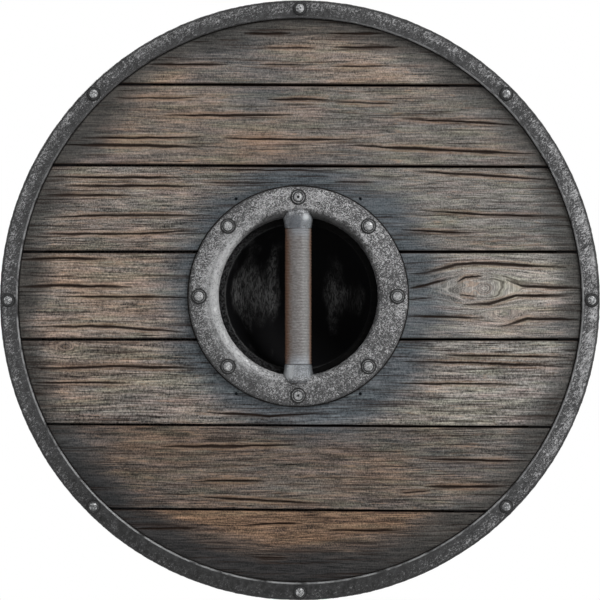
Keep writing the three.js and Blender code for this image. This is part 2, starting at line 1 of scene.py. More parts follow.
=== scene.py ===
"""The looks of a round larp shield: weathered planks, a hammered edging, a ringed opening, a boss and a grip.

Metres, in the shield's own frame: +X to the right when looking at the hand side, +Y out of the front, +Z up,
and the origin at the middle of the grip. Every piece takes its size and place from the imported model.
"""

import sys
import logging
import math
from collections.abc import Callable, Iterator, Sequence
from contextlib import contextmanager
from dataclasses import dataclass, field, replace
from enum import Enum

import bpy
import numpy as np
from mathutils import Matrix, Vector


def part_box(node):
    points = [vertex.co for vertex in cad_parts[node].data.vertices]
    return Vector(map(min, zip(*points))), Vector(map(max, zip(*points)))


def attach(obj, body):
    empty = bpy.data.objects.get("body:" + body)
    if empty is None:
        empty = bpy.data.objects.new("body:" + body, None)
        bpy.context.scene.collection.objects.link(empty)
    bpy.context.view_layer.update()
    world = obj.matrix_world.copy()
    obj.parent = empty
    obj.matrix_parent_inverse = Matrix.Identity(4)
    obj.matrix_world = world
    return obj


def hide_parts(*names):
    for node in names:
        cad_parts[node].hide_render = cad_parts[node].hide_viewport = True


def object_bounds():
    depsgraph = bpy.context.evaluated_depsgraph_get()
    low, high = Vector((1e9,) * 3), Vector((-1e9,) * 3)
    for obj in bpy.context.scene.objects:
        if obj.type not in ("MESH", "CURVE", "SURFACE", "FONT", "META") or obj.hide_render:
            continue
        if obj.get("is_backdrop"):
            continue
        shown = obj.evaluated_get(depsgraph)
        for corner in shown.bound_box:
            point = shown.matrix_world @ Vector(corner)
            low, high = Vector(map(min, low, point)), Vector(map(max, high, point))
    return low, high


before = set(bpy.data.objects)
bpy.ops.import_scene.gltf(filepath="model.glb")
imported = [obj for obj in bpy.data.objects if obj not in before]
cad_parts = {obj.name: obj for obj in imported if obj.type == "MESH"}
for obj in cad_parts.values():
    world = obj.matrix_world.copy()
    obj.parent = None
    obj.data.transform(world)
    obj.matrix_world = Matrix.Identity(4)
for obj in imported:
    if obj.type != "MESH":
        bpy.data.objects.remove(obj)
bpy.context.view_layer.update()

MM = 0.001
FULL_TURN = 2 * math.pi
MERGE_WITHIN = 0.001 * MM
HEXAGON = 6
BODY = "root"
LOG = logging.getLogger("shield")

Point = tuple[float, float]
Triple = tuple[float, float, float]
Colour = tuple[float, float, float, float]
Numbers = np.ndarray
Piece = bpy.types.Object
Material = bpy.types.Material
Node = bpy.types.Node
Socket = bpy.types.NodeSocket


class Side(Enum):
    """The two faces of the shield, each with its direction along Y."""

    HAND = -1
    FRONT = 1


class Spindle(Enum):
    """What a turned piece is spun about."""

    DEPTH = "Y"
    HEIGHT = "Z"


# Sizes and places


@dataclass(frozen=True)
class Envelope:
    """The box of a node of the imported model."""

    low: Vector
    high: Vector

    @classmethod
    def of(cls, node: str) -> "Envelope":
        """Reads the node's box at rest."""
        return cls(*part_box(node))

    @property
    def middle(self) -> Vector:
        """The box's middle."""
        return (self.low + self.high) / 2

    @property
    def size(self) -> Vector:
        """The box's lengths along X, Y and Z."""
        return self.high - self.low


def box_of(node: str) -> Envelope:
    """A dataclass field that holds a node's box unless it is given another."""
    return field(default_factory=lambda: Envelope.of(node))


@dataclass(frozen=True)
class Layout:
    """The radii and depths that the pieces share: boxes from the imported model, and the fasteners' circles."""

    edging: Envelope = box_of("rim_edging")
    padding: Envelope = box_of("edge_padding")
    ring: Envelope = box_of("hand_ring")
    dome: Envelope = box_of("boss_dome")
    liner: Envelope = box_of("boss_liner")
    hand_plank: Envelope = box_of("hand_plank_1")
    front_plank: Envelope = box_of("front_plank_1")
    gap: float = 0.3 * MM
    rim_circle: float = 291 * MM
    ring_circle: float = 99 * MM
    rim_rove: float = 5.9 * MM
    ring_rove: float = 6.7 * MM

    @property
    def disc_radius(self) -> float:
        """The shield's radius."""
        return self.edging.size.x / 2

    @property
    def disc_centre(self) -> Vector:
        """The disc's centre in its plane, a little off the grip's middle."""
        return Vector((self.edging.middle.x, 0, self.edging.middle.z))

    @property
    def board_radius(self) -> float:
        """The radius that the planks are cut to."""
        return self.padding.size.x / 2

    @property
    def ring_radius(self) -> float:
        """The radius of the ring round the hand opening."""
        return self.ring.size.x / 2

    @property
    def hole_radius(self) -> float:
        """The radius of the hole in the planks."""
        return self.liner.size.x / 2 + self.gap


# Small sums


def smooth(share: Numbers) -> Numbers:
    """Eases shares, cut to between 0 and 1, in and out."""
    share = np.clip(share, 0, 1)
    return share * share * (3 - 2 * share)


def between(low: float, high: float, value: Numbers) -> Numbers:
    """Rises smoothly from 0 at low to 1 at high, or falls where low is the larger."""
    return smooth((value - low) / (high - low))


def tone(red: float, green: float, blue: float) -> Colour:
    """Turns a colour seen on a screen, 0 to 255, into the linear values that a shader takes."""
    shares = [channel / 255 for channel in (red, green, blue)]
    return (*(s / 12.92 if s <= 0.04045 else ((s + 0.055) / 1.055) ** 2.4 for s in shares), 1.0)


def arc(centre: Point, radius_x: float, radius_y: float, start: float, end: float, steps: int) -> list[Point]:
    """Points on an elliptical arc, both ends included.

    Args:
        centre: The arc's centre.
        radius_x: Its reach along the first axis.
        radius_y: Its reach along the second axis.
        start: Where it starts, in degrees.
        end: Where it ends, in degrees.
        steps: How many chords stand for it.

    Returns:
        The points, in order.
    """
    angles = np.radians(np.linspace(start, end, steps + 1))
    return [(centre[0] + radius_x * math.cos(a), centre[1] + radius_y * math.sin(a)) for a in angles]


def dense(points: Sequence[Point], step: float) -> list[Point]:
    """Splits an outline's long stretches so that none is longer than the step."""
    result = [points[0]]
    for start, end in zip(points, points[1:]):
        pieces = max(1, math.ceil(math.dist(start, end) / step))
        for share in np.linspace(0, 1, pieces + 1)[1:]:
            result.append((start[0] + (end[0] - start[0]) * share, start[1] + (end[1] - start[1]) * share))
    return result


@dataclass(frozen=True)
class SmoothNoise:
    """Seeded noise between 0 and 1, on a lattice one unit wide that repeats."""

    seed: int
    cells: int = 256

    def at(self, across: Numbers, up: Numbers) -> Numbers:
        """The noise at places given in lattice units."""
        table = np.random.default_rng(self.seed).random((self.cells, self.cells))
        column = np.floor(across).astype(int)
        row = np.floor(up).astype(int)
        along = smooth(across - column)
        rise = smooth(up - row)

        def corner(right: int, above: int) -> Numbers:
            return table[(column + right) % self.cells, (row + above) % self.cells]

        low = corner(0, 0) + (corner(1, 0) - corner(0, 0)) * along
        high = corner(0, 1) + (corner(1, 1) - corner(0, 1)) * along
        return low + (high - low) * rise


# Mesh tools


def deselect_all() -> None:
    """Leaves nothing selected."""
    for other in bpy.context.selected_objects:
        other.select_set(False)


def choose(piece: Piece) -> None:
    """Makes a piece the only selected and the active one."""
    deselect_all()
    piece.select_set(True)
    bpy.context.view_layer.objects.active = piece


@contextmanager
def editing(piece: Piece) -> Iterator[None]:
    """Opens a piece in edit mode with all of it selected, and closes it again."""
    choose(piece)
    bpy.ops.object.mode_set(mode="EDIT")
    bpy.ops.mesh.select_all(action="SELECT")
    yield
    bpy.ops.object.mode_set(mode="OBJECT")


def corners(piece: Piece) -> Numbers:
    """A mesh's vertices as rows of x, y and z."""
    flat = np.empty(len(piece.data.vertices) * 3)
    piece.data.vertices.foreach_get("co", flat)
    return flat.reshape(-1, 3)


def place_corners(piece: Piece, places: Numbers) -> None:
    """Moves a mesh's vertices to the given rows of x, y and z."""
    piece.data.vertices.foreach_set("co", np.ascontiguousarray(places, dtype=float).ravel())
    piece.data.update()


def paint_values(piece: Piece, name: str, values: Numbers) -> None:
    """Keeps a number or a vector for each vertex, for the piece's material to read."""
    kind, key = ("FLOAT_VECTOR", "vector") if values.ndim == 2 else ("FLOAT", "value")
    layer = piece.data.attributes.new(name, kind, "POINT")
    layer.data.foreach_set(key, np.ascontiguousarray(values, dtype=float).ravel())


def apply_all(piece: Piece) -> None:
    """Applies a piece's modifiers in their order."""
    choose(piece)
    for modifier in list(piece.modifiers):
        bpy.ops.object.modifier_apply(modifier=modifier.name)


def carve(piece: Piece, cutter: Piece, operation: str = "DIFFERENCE") -> None:
    """Cuts a piece with another, or joins them, and removes the cutter."""
    modifier = piece.modifiers.new("carve", "BOOLEAN")
    modifier.operation = operation
    modifier.solver = "MANIFOLD"
    modifier.object = cutter
    apply_all(piece)
    bpy.data.objects.remove(cutter)


def shade(piece: Piece, degrees: float = 40) -> None:
    """Smooths a piece's shading except across edges sharper than the angle."""
    choose(piece)
    bpy.ops.object.shade_smooth_by_angle(angle=math.radians(degrees))


def spun(outline: Sequence[Point], steps: int, centre: Vector = Vector(),
         spindle: Spindle = Spindle.DEPTH) -> Piece:
    """Turns an outline about a spindle into a closed body.

    Args:
        outline: Points of (radius, distance along the spindle). It closes on itself, or on the spindle.
        steps: How many steps make the full turn.
        centre: A point on the spindle.
        spindle: The direction of the spindle.

    Returns:
        The turned piece, with its faces outwards.
    """
    deselect_all()
    bpy.ops.mesh.primitive_circle_add(vertices=len(outline), radius=1)
    piece = bpy.context.object
    upright = spindle is Spindle.HEIGHT
    places = [(radius, 0, along) if upright else (radius, along, 0) for radius, along in outline]
    place_corners(piece, np.array(places))
    turn = piece.modifiers.new("turn", "SCREW")
    turn.axis = spindle.value
    turn.steps = turn.render_steps = steps
    apply_all(piece)
    piece.data.transform(Matrix.Translation(centre))
    with editing(piece):
        bpy.ops.mesh.remove_doubles(threshold=MERGE_WITHIN)
        bpy.ops.mesh.delete_loose()
        bpy.ops.mesh.select_all(action="SELECT")
        bpy.ops.mesh.normals_make_consistent(inside=False)
    return piece


def rod(radius: float, low: Vector, high: Vector, sides: int = 24) -> Piece:
    """A plain round bar between two points, to cut with."""
    deselect_all()
    along = high - low
    turn = along.to_track_quat("Z", "Y")
    bpy.ops.mesh.primitive_cylinder_add(vertices=sides, radius=radius, depth=along.length)
    piece = bpy.context.object
    piece.data.transform(Matrix.Translation((low + high) / 2) @ turn.to_matrix().to_4x4())
    return piece


def joined(pieces: Sequence[Piece]) -> Piece:
    """Joins separate bodies into one object."""
    choose(pieces[0])
    for piece in pieces:
        piece.select_set(True)
    bpy.ops.object.join()
    return bpy.context.object


def hammer(piece: Piece, *dents: Point, kind: str = "CLOUDS") -> None:
    """Dents a surface inwards with a procedural texture, once for each size of dent.

    Args:
        piece: The piece to dent.
        dents: How far apart the dents of each size lie, and how deep the deepest is.
        kind: The texture's type.
    """
    for size, depth in dents:
        texture = bpy.data.textures.new("dents", kind)
        texture.noise_scale = size
        modifier = piece.modifiers.new("hammer", "DISPLACE")
        modifier.texture = texture
        modifier.texture_coords = "LOCAL"
        modifier.mid_level = 1.0
        modifier.strength = depth
        apply_all(piece)


def copied(original: Piece, change: Matrix) -> Piece:
    """Copies a piece with a mesh of its own, moved within that mesh."""
    piece = bpy.data.objects.new("copy", original.data.copy())
    piece.data.transform(change)
    bpy.context.scene.collection.objects.link(piece)
    return piece


def hand_over(piece: Piece, node: str, material: Material) -> None:
    """Names and dresses a finished piece, lets it ride on the shield and stand for its node."""
    piece.name = piece.data.name = f"{node}_dressed"
    piece.data.materials.clear()
    piece.data.materials.append(material)
    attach(piece, BODY)
    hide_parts(node)
    LOG.info("%s stands for %s with %d faces", piece.name, node, len(piece.data.polygons))


# Shader tools


# The numbers of a mix node's sockets where it mixes colours.
FACTOR, FIRST_COLOUR, SECOND_COLOUR, MIXED_COLOUR = 0, 6, 7, 2


class Sheet:
    """A node tree, with short calls that add a node and give back its output."""

    def __init__(self, tree: bpy.types.NodeTree) -> None:
        """Starts on an empty or half-built tree."""
        self.tree = tree

    def node(self, kind: str, values: dict | None = None, **settings: object) -> Node:
        """Adds a node, sets its options and feeds its inputs, each by its name or number."""
        made = self.tree.nodes.new(kind)
        for key, value in settings.items():
            setattr(made, key, value)
        for key, value in (values or {}).items():
            self.feed(made.inputs[key], value)
        return made

    def feed(self, socket: Socket, value: object) -> None:
        """Joins an output to a socket, or sets the socket's own value."""
        if isinstance(value, Socket):
            self.tree.links.new(value, socket)
        else:
            socket.default_value = value

    def math(self, operation: str, *values: object, clamp: bool = False) -> Socket:
        """A sum on numbers."""
        given = dict(enumerate(values))
        return self.node("ShaderNodeMath", given, operation=operation, use_clamp=clamp).outputs[0]

    def times(self, first: object, *others: object) -> Socket:
        """Multiplies numbers together."""
        for other in others:
            first = self.math("MULTIPLY", first, other)
        return first

    def total(self, *terms: tuple[object, float]) -> Socket:
        """Adds numbers up, each times its weight."""
        result: object = 0.0
        for value, weight in terms:
            result = self.math("MULTIPLY_ADD", value, weight, result)
        return result

    def combine(self, x: object, y: object, z: object) -> Socket:
        """A vector from three numbers."""
        return self.node("ShaderNodeCombineXYZ", {"X": x, "Y": y, "Z": z}).outputs[0]

    def split(self, vector: object) -> tuple[Socket, ...]:
        """A vector's three numbers."""
        return tuple(self.node("ShaderNodeSeparateXYZ", {0: vector}).outputs)

    def vectors(self, operation: str, first: object, second: object) -> Node:
        """A sum on two vectors."""
        return self.node("ShaderNodeVectorMath", {0: first, 1: second}, operation=operation)

    def scaled(self, vector: object, scale: object) -> Socket:
        """A vector times one number."""
        return self.node("ShaderNodeVectorMath", {0: vector, "Scale": scale}, operation="SCALE").outputs[0]

    def noise(self, vector: object, scale: object = 1.0, detail: float = 2, roughness: float = 0.5,
              distortion: float = 0) -> Socket:
        """Noise between 0 and 1; the scale says how many lights lie in a unit, on all axes or on each."""
        if isinstance(scale, tuple):
            vector = self.vectors("MULTIPLY", vector, scale).outputs["Vector"]
            scale = 1.0
        return self.node("ShaderNodeTexNoise", {"Vector": vector, "Scale": scale, "Detail": detail,
                                                "Roughness": roughness, "Distortion": distortion}).outputs[0]

    def rise(self, value: object, low: object, high: object) -> Socket:
        """Goes smoothly from 0 at low to 1 at high."""
        given = {"Value": value, "From Min": low, "From Max": high}
        return self.node("ShaderNodeMapRange", given, interpolation_type="SMOOTHSTEP").outputs[0]

    def worm(self, noise: object, level: float, width: float) -> Socket:
        """1 along the lines where a noise crosses a level, 0 away from them."""
        away = self.math("ABSOLUTE", self.math("SUBTRACT", noise, level))
        return self.rise(away, width, width * 0.25)

    def blend(self, factor: object, first: object, second: object, kind: str = "MIX") -> Socket:
        """Mixes two colours."""
        made = self.node("ShaderNodeMix", data_type="RGBA", blend_type=kind)
        for key, value in ((FACTOR, factor), (FIRST_COLOUR, first), (SECOND_COLOUR, second)):
            self.feed(made.inputs[key], value)
        return made.outputs[MIXED_COLOUR]

    def dimmed(self, colour: object, factor: object) -> Socket:
        """A colour times a number."""
        return self.blend(1.0, colour, self.combine(factor, factor, factor), "MULTIPLY")

    def reach(self, place: object, centre: object) -> Socket:
        """How far a place is from a centre in the disc's plane."""
        x, _, z = self.split(place)
        centre_x, _, centre_z = self.split(centre)
        across = self.math("SUBTRACT", x, centre_x)
        up = self.math("SUBTRACT", z, centre_z)
        squares = self.total((self.math("POWER", across, 2.0), 1.0), (self.math("POWER", up, 2.0), 1.0))
        return self.math("SQRT", squares)

    def facing(self, place: object, centre: Vector, direction: Triple) -> Socket:
        """1 where a place lies in a direction from a centre, and -1 where it lies opposite."""
        off = self.vectors("SUBTRACT", place, centre).outputs["Vector"]
        along = self.vectors("DOT_PRODUCT", off, direction).outputs["Value"]
        return self.math("DIVIDE", along, self.reach(place, centre))

    def attribute(self, name: str) -> Node:
        """The node that reads a value kept on the mesh."""
        return self.node("ShaderNodeAttribute", attribute_name=name)

    def place(self) -> Socket:
        """Where the surface is, in the shield's own frame."""
        return self.node("ShaderNodeTexCoord").outputs["Object"]

    def group(self, tree: bpy.types.NodeTree, **values: object) -> Node:
        """Places a shared effect, with its inputs by name in small letters."""
        given = {key.capitalize(): value for key, value in values.items()}
        return self.node("ShaderNodeGroup", given, node_tree=tree)


SOCKETS = {"number": "NodeSocketFloat", "vector": "NodeSocketVector", "colour": "NodeSocketColor"}


def effect(name: str, inputs: dict[str, str], outputs: dict[str, str],
           build: Callable[[Sheet, dict[str, Socket]], dict[str, object]]) -> bpy.types.NodeTree:
    """Builds a node group for an effect that several materials share.

    Args:
        name: The group's name.
        inputs: Its inputs' names and kinds.
        outputs: Its outputs' names and kinds.
        build: Adds the group's nodes and returns what each output is fed from.

    Returns:
        The finished group.
    """
    tree = bpy.data.node_groups.new(name, "ShaderNodeTree")
    for socket, kind in inputs.items():
        tree.interface.new_socket(name=socket, in_out="INPUT", socket_type=SOCKETS[kind])
    for socket, kind in outputs.items():
        tree.interface.new_socket(name=socket, in_out="OUTPUT", socket_type=SOCKETS[kind])
    sheet = Sheet(tree)
    entry = sheet.node("NodeGroupInput")
    leaving = sheet.node("NodeGroupOutput")
    results = build(sheet, {socket: entry.outputs[socket] for socket in inputs})
    for socket in outputs:
        sheet.feed(leaving.inputs[socket], results[socket])
    return tree


def build_brushing(sheet: Sheet, given: dict[str, Socket]) -> dict[str, object]:
    """Cast iron dry-brushed with a pale paint that catches on its high spots."""
    fine = sheet.scaled(given["Place"], given["Scale"])
    skin = sheet.noise(fine, detail=2, roughness=0.65, distortion=1.6)
    second = sheet.noise(fine, 1.9, detail=1, roughness=0.6, distortion=1.2)
    patches = sheet.noise(fine, 0.13, detail=2, roughness=0.6)
    crest = sheet.total((skin, 0.55), (second, 0.45))
    spread = sheet.times(given["Amount"], sheet.total((patches, 1.5), (1.0, 0.25)))
    threshold = sheet.total((spread, -0.22), (1.0, 0.66))
    flecks = sheet.rise(crest, sheet.math("SUBTRACT", threshold, 0.04), sheet.math("ADD", threshold, 0.1))
    creases = sheet.worm(skin, 0.46, 0.05)
    clouds = sheet.noise(fine, 0.4, detail=2)
    level = sheet.total((clouds, 0.9), (second, 1.3), (creases, -0.3), (1.0, -0.05))
    light = sheet.dimmed(given["Flecks"], sheet.total((second, 1.1), (1.0, 0.45)))
    colour = sheet.blend(sheet.times(flecks, 0.92), sheet.dimmed(given["Base"], level), light)
    worn = sheet.times(creases, given["Crease"], sheet.total((flecks, -0.5), (1.0, 1.0)))
    return {
        "Colour": sheet.blend(worn, colour, sheet.dimmed(given["Base"], 0.45)),
        "Height": sheet.total((skin, 0.5), (flecks, 0.5), (creases, -0.4)),
    }


def build_fastener_distance(sheet: Sheet, given: dict[str, Socket]) -> dict[str, object]:
    """How far a place is from the nearest of the eight fasteners on a circle."""
    x, _, z = sheet.split(given["Place"])
    centre_x, _, centre_z = sheet.split(given["Centre"])
    across = sheet.math("SUBTRACT", x, centre_x)
    up = sheet.math("SUBTRACT", z, centre_z)
    reach = sheet.reach(given["Place"], given["Centre"])
    sector = FULL_TURN / FASTENERS_ROUND
    turned = sheet.math("ARCTAN2", across, up)
    whole = sheet.math("ROUND", sheet.math("DIVIDE", turned, sector))
    folded = sheet.math("SUBTRACT", turned, sheet.times(whole, sector))
    product = sheet.times(reach, given["Circle"], sheet.math("COSINE", folded))
    reach_square = sheet.math("POWER", reach, 2.0)
    circle_square = sheet.math("POWER", given["Circle"], 2.0)
    square = sheet.total((reach_square, 1.0), (circle_square, 1.0), (product, -2.0))
    return {"Distance": sheet.math("SQRT", sheet.math("MAXIMUM", square, 0.0))}


def build_wash(sheet: Sheet, given: dict[str, Socket]) -> dict[str, object]:
    """A dark wash that starts at a radius, with a ragged edge that follows the grain."""
    reach = sheet.reach(given["Place"], given["Centre"])
    ragged = sheet.noise(given["Grain"], (16, 1, 190), detail=3, roughness=0.6)
    broad = sheet.noise(given["Grain"], (9, 1, 26), detail=1)
    wander = sheet.total((ragged, 1.3), (broad, 1.7), (1.0, -1.5))
    moved = sheet.math("MULTIPLY_ADD", wander, given["Wander"], reach)
    return {"Mask": sheet.rise(moved, given["Clear"], given["Full"]), "Radius": reach}


FASTENERS_ROUND = 8
BRUSHING = effect(
    "dry brushing",
    {"Place": "vector", "Scale": "number", "Amount": "number", "Crease": "number", "Base": "colour",
     "Flecks": "colour"},
    {"Colour": "colour", "Height": "number"},
    build_brushing,
)
FASTENER_DISTANCE = effect(
    "fastener distance",
    {"Place": "vector", "Centre": "vector", "Circle": "number"},
    {"Distance": "number"},
    build_fastener_distance,
)
WASH = effect(
    "ragged wash",
    {"Place": "vector", "Grain": "vector", "Centre": "vector", "Clear": "number", "Full": "number",
     "Wander": "number"},
    {"Mask": "number", "Radius": "number"},
    build_wash,
)


def new_material(name: str) -> tuple[Material, Sheet, Node]:
    """Starts a material and gives its sheet and its Principled shader."""
    material = bpy.data.materials.new(name)
    material.use_nodes = True
    sheet = Sheet(material.node_tree)
    return material, sheet, material.node_tree.nodes["Principled BSDF"]


def bump(sheet: Sheet, height: object, depth: float, strength: float = 1.0) -> Socket:
    """Turns a height between 0 and 1 into a normal."""
    given = {"Strength": strength, "Distance": depth, "Height": height}
    return sheet.node("ShaderNodeBump", given).outputs[0]


def coat(sheet: Sheet, skin: Node, colour: object, rough: tuple[object, float, float],
         normal: Socket, gloss: float = 0.5) -> None:
    """Gives a shader its colour, roughness (a value, its weight and a constant), normal and gloss."""
    value, weight, base = rough
    sheet.feed(skin.inputs["Base Color"], colour)
    sheet.feed(skin.inputs["Roughness"], sheet.total((value, weight), (1.0, base)))
    sheet.feed(skin.inputs["Normal"], normal)
    skin.inputs["Specular IOR Level"].default_value = gloss


# Finishes


@dataclass(frozen=True)
class WeatheredWood:
    """Foam painted as old planks: grey and brown streaks, dark cracks with painted highlights on their lips,
    washes at the rim and the ring, and painted shade lines where the edging and the ring meet the wood.
    """

    name: str
    layout: Layout
    # The colour of the painted shade lines where the edging and the ring meet the wood.
    dark: Colour = tone(16, 13, 11)
    crack_tone: Colour = tone(40, 27, 20)
    grey: Colour = tone(112, 109, 105)
    brown: Colour = tone(124, 103, 87)
    olive: Colour = tone(108, 109, 92)
    mauve: Colour = tone(121, 103, 99)
    orange: Colour = tone(160, 123, 92)
    # The colour of the painted highlights on the cracks' lips and on raised fibres.
    pale: Colour = tone(152, 122, 98)
    rim_wash: Colour = tone(58, 57, 55)
    blue_wash: Colour = tone(62, 71, 78)
    soot: Colour = tone(31, 33, 35)
    rim_clear: float = 247 * MM
    rim_full: float = 279 * MM
    ring_clear: float = 162 * MM
    ring_full: float = 119 * MM
    foot_start: float = -170 * MM
    foot_full: float = -262 * MM
    foot_reach: float = 15 * MM
    burnt_lean: float = 0.35
    burnt_further: float = 10 * MM
    ring_wash_off: Triple = (7 * MM, 0, -3 * MM)
    wander: float = 22 * MM
    # The width of those painted shade lines, and the radius of the one along the edging's lip.
    crease: float = 1.6 * MM
    lip: float = 281.5 * MM

    def material(self) -> Material:
        """Builds the material."""
        material, sheet, skin = new_material(self.name)
        grain = sheet.attribute("grain").outputs["Vector"]
        relief = sheet.attribute("relief").outputs["Fac"]
        crack = sheet.attribute("crack").outputs["Fac"]
        halo = sheet.attribute("halo").outputs["Fac"]
        level, warmth, contrast = sheet.split(sheet.attribute("paint").outputs["Vector"])
        fibre = sheet.noise(grain, (48, 1, 900), detail=2.5, roughness=0.7)
        streak = sheet.noise(grain, (20, 1, 250), detail=4, roughness=0.65)
        patch = sheet.noise(grain, (7, 1, 18), detail=3, roughness=0.6)
        scratches = sheet.noise(grain, (700, 1, 520), detail=2, roughness=0.75)
        raised = sheet.total((relief, 0.24), (fibre, 1.3), (streak, 0.3), (scratches, 1.05), (1.0, -1.44))
        height = sheet.math("MULTIPLY_ADD", raised, contrast, 0.5)

        warm = sheet.total((warmth, 1.0), (patch, 1.4), (streak, 1.0), (fibre, 0.6), (1.0, -1.55))
        colour = sheet.blend(sheet.rise(warm, 0.0, 1.1), self.grey, self.brown)
        tint = sheet.noise(grain, (17, 1, 150), detail=2)
        for mask, share, paint in ((sheet.rise(tint, 0.5, 0.68), 0.36, self.olive),
                                   (sheet.rise(tint, 0.48, 0.28), 0.34, self.mauve),
                                   (sheet.rise(warm, 0.8, 1.6), 0.4, self.orange)):
            colour = sheet.blend(sheet.times(mask, share), colour, paint)
        lightness = sheet.math("POWER", sheet.total((height, 1.8), (patch, 0.3), (1.0, -0.05)), 1.5)
        colour = sheet.dimmed(colour, sheet.times(lightness, level))
        # Painted highlights: pale lines on the cracks' lips and on raised fibres, where light would catch them.
        lifted = sheet.worm(sheet.noise(grain, (13, 1, 165), detail=1), 0.5, 0.022)
        lifted = sheet.times(lifted, sheet.rise(fibre, 0.44, 0.6))
        lit = sheet.times(sheet.math("MAXIMUM", halo, lifted), 0.4)
        colour = sheet.blend(lit, colour, self.pale)

        colour, edge = self.washed(sheet, colour, grain, height)
        colour = sheet.blend(sheet.times(crack, 0.95), colour, self.crack_tone)
        # Painted shade lines where the edging and the ring meet the wood.
        colour = sheet.blend(edge, colour, self.dark)
        coat(sheet, skin, colour, (height, -0.2, 0.85), bump(sheet, height, 0.5 * MM, 0.9), gloss=0.2)
        return material

    def washed(self, sheet: Sheet, colour: object, grain: object,
               height: object) -> tuple[Socket, Socket]:
        """Lays the blue-grey wash round the ring and the dark one along the rim, and finds the painted shade
        lines at the edging and the ring.

        Args:
            sheet: The material's nodes.
            colour: The bare wood's colour.
            grain: Places along the grain.
            height: The grain's relief, which shows through the washes.

        Returns:
            The washed colour, and a mask of the painted shade lines where the edging and the ring meet the
            wood.
        """
        place = sheet.place()
        x, _, z = sheet.split(place)
        leaning = sheet.total((z, 1.0), (x, self.burnt_lean))
        burnt = sheet.rise(leaning, self.foot_start, self.foot_full - self.burnt_further)
        foot = sheet.times(sheet.rise(z, self.foot_start, self.foot_full), self.foot_reach)
        rim = sheet.group(WASH, place=place, grain=grain, centre=self.layout.disc_centre,
                          clear=sheet.math("SUBTRACT", self.rim_clear, foot),
                          full=sheet.math("SUBTRACT", self.rim_full, foot), wander=self.wander)
        ring = sheet.group(WASH, place=place, grain=grain, centre=self.ring_wash_off,
                           clear=self.ring_clear, full=self.ring_full, wander=-self.wander)
        to_ring = sheet.reach(place, Vector())
        shown = sheet.total((height, 1.7), (1.0, 0.15))
        blue = sheet.dimmed(self.blue_wash, shown)
        stray = sheet.rise(sheet.noise(grain, (6, 1, 11), detail=2), 0.56, 0.72)
        near_ring = sheet.math("MAXIMUM", ring.outputs["Mask"], sheet.times(stray, 0.55))
        colour = sheet.blend(sheet.times(near_ring, 0.85), colour, blue)
        fringe = sheet.times(sheet.rise(rim.outputs["Mask"], 0.0, 0.5), 0.28)
        colour = sheet.blend(fringe, colour, blue)
        dark_wash = sheet.blend(burnt, self.rim_wash, self.soot)
        colour = sheet.blend(sheet.times(rim.outputs["Mask"], 0.93), colour,
                             sheet.dimmed(dark_wash, shown))
        # Painted shade: thin dark lines along the edging's lip and round the ring.
        shade_at_rim = sheet.rise(rim.outputs["Radius"], self.lip - self.crease, self.lip - self.crease / 4)
        shade_at_ring = sheet.rise(to_ring, self.layout.ring_radius + self.crease,
                             self.layout.ring_radius + self.crease / 4)
        return colour, sheet.math("MAXIMUM", shade_at_rim, shade_at_ring)


@dataclass(frozen=True)
class FastenerCircle:
    """A circle of fasteners, with the radius and half width of each ring of painted shade about a fastener."""

    radius: float
    centre: Vector
    creases: tuple[Point, ...]

    def crease_shaded(self, sheet: Sheet, place: object, colour: object) -> Socket:
        """Paints shade along the creases round each fastener."""
        found = sheet.group(FASTENER_DISTANCE, place=place, centre=self.centre, circle=self.radius)
        for crease, width in self.creases:
            off = sheet.math("ABSOLUTE", sheet.math("SUBTRACT", found.outputs["Distance"], crease))
            line = sheet.rise(off, width, width * 0.45)
            colour = sheet.blend(sheet.times(line, 0.95), colour, tone(10, 10, 11))
        return colour


@dataclass(frozen=True)
class BrushedIron:
    """Foam painted as dark cast iron and dry-brushed pale."""

    name: str
    base: Colour = tone(52, 53, 54)
    flecks: Colour = tone(160, 162, 163)
    amount: float = 0.6
    scale: float = 300.0
    rough: float = 0.5
    metal: float = 0.15
    relief: float = 0.5 * MM
    crease: float = 0.75
    fasteners: FastenerCircle | None = None

    def material(self) -> Material:
        """Builds the material."""
        material, sheet, skin = new_material(self.name)
        place = sheet.place()
        brushing = sheet.group(BRUSHING, place=self.stroked(sheet, place), scale=self.scale,
                               amount=self.caught(sheet, place), crease=self.crease,
                               base=self.base, flecks=self.flecks)
        colour = self.weathered(sheet, place, brushing.outputs["Colour"])
        # Painted shade in the creases round the fasteners.
        if self.fasteners:
            colour = self.fasteners.crease_shaded(sheet, place, colour)
        height = brushing.outputs["Height"]
        coat(sheet, skin, colour, (height, -0.12, self.rough), bump(sheet, height, self.relief), gloss=0.4)
        skin.inputs["Metallic"].default_value = self.metal
        return material

    def stroked(self, sheet: Sheet, place: object) -> object:
        """The place that the brushing is worked out from, drawn out along the brush's strokes."""
        return place

    def caught(self, sheet: Sheet, place: object) -> object:
        """How much pale paint a place has caught."""
        return self.amount

    def weathered(self, sheet: Sheet, place: object, colour: object) -> object:
        """Adds what the piece's own wear does to the colour."""
        return colour


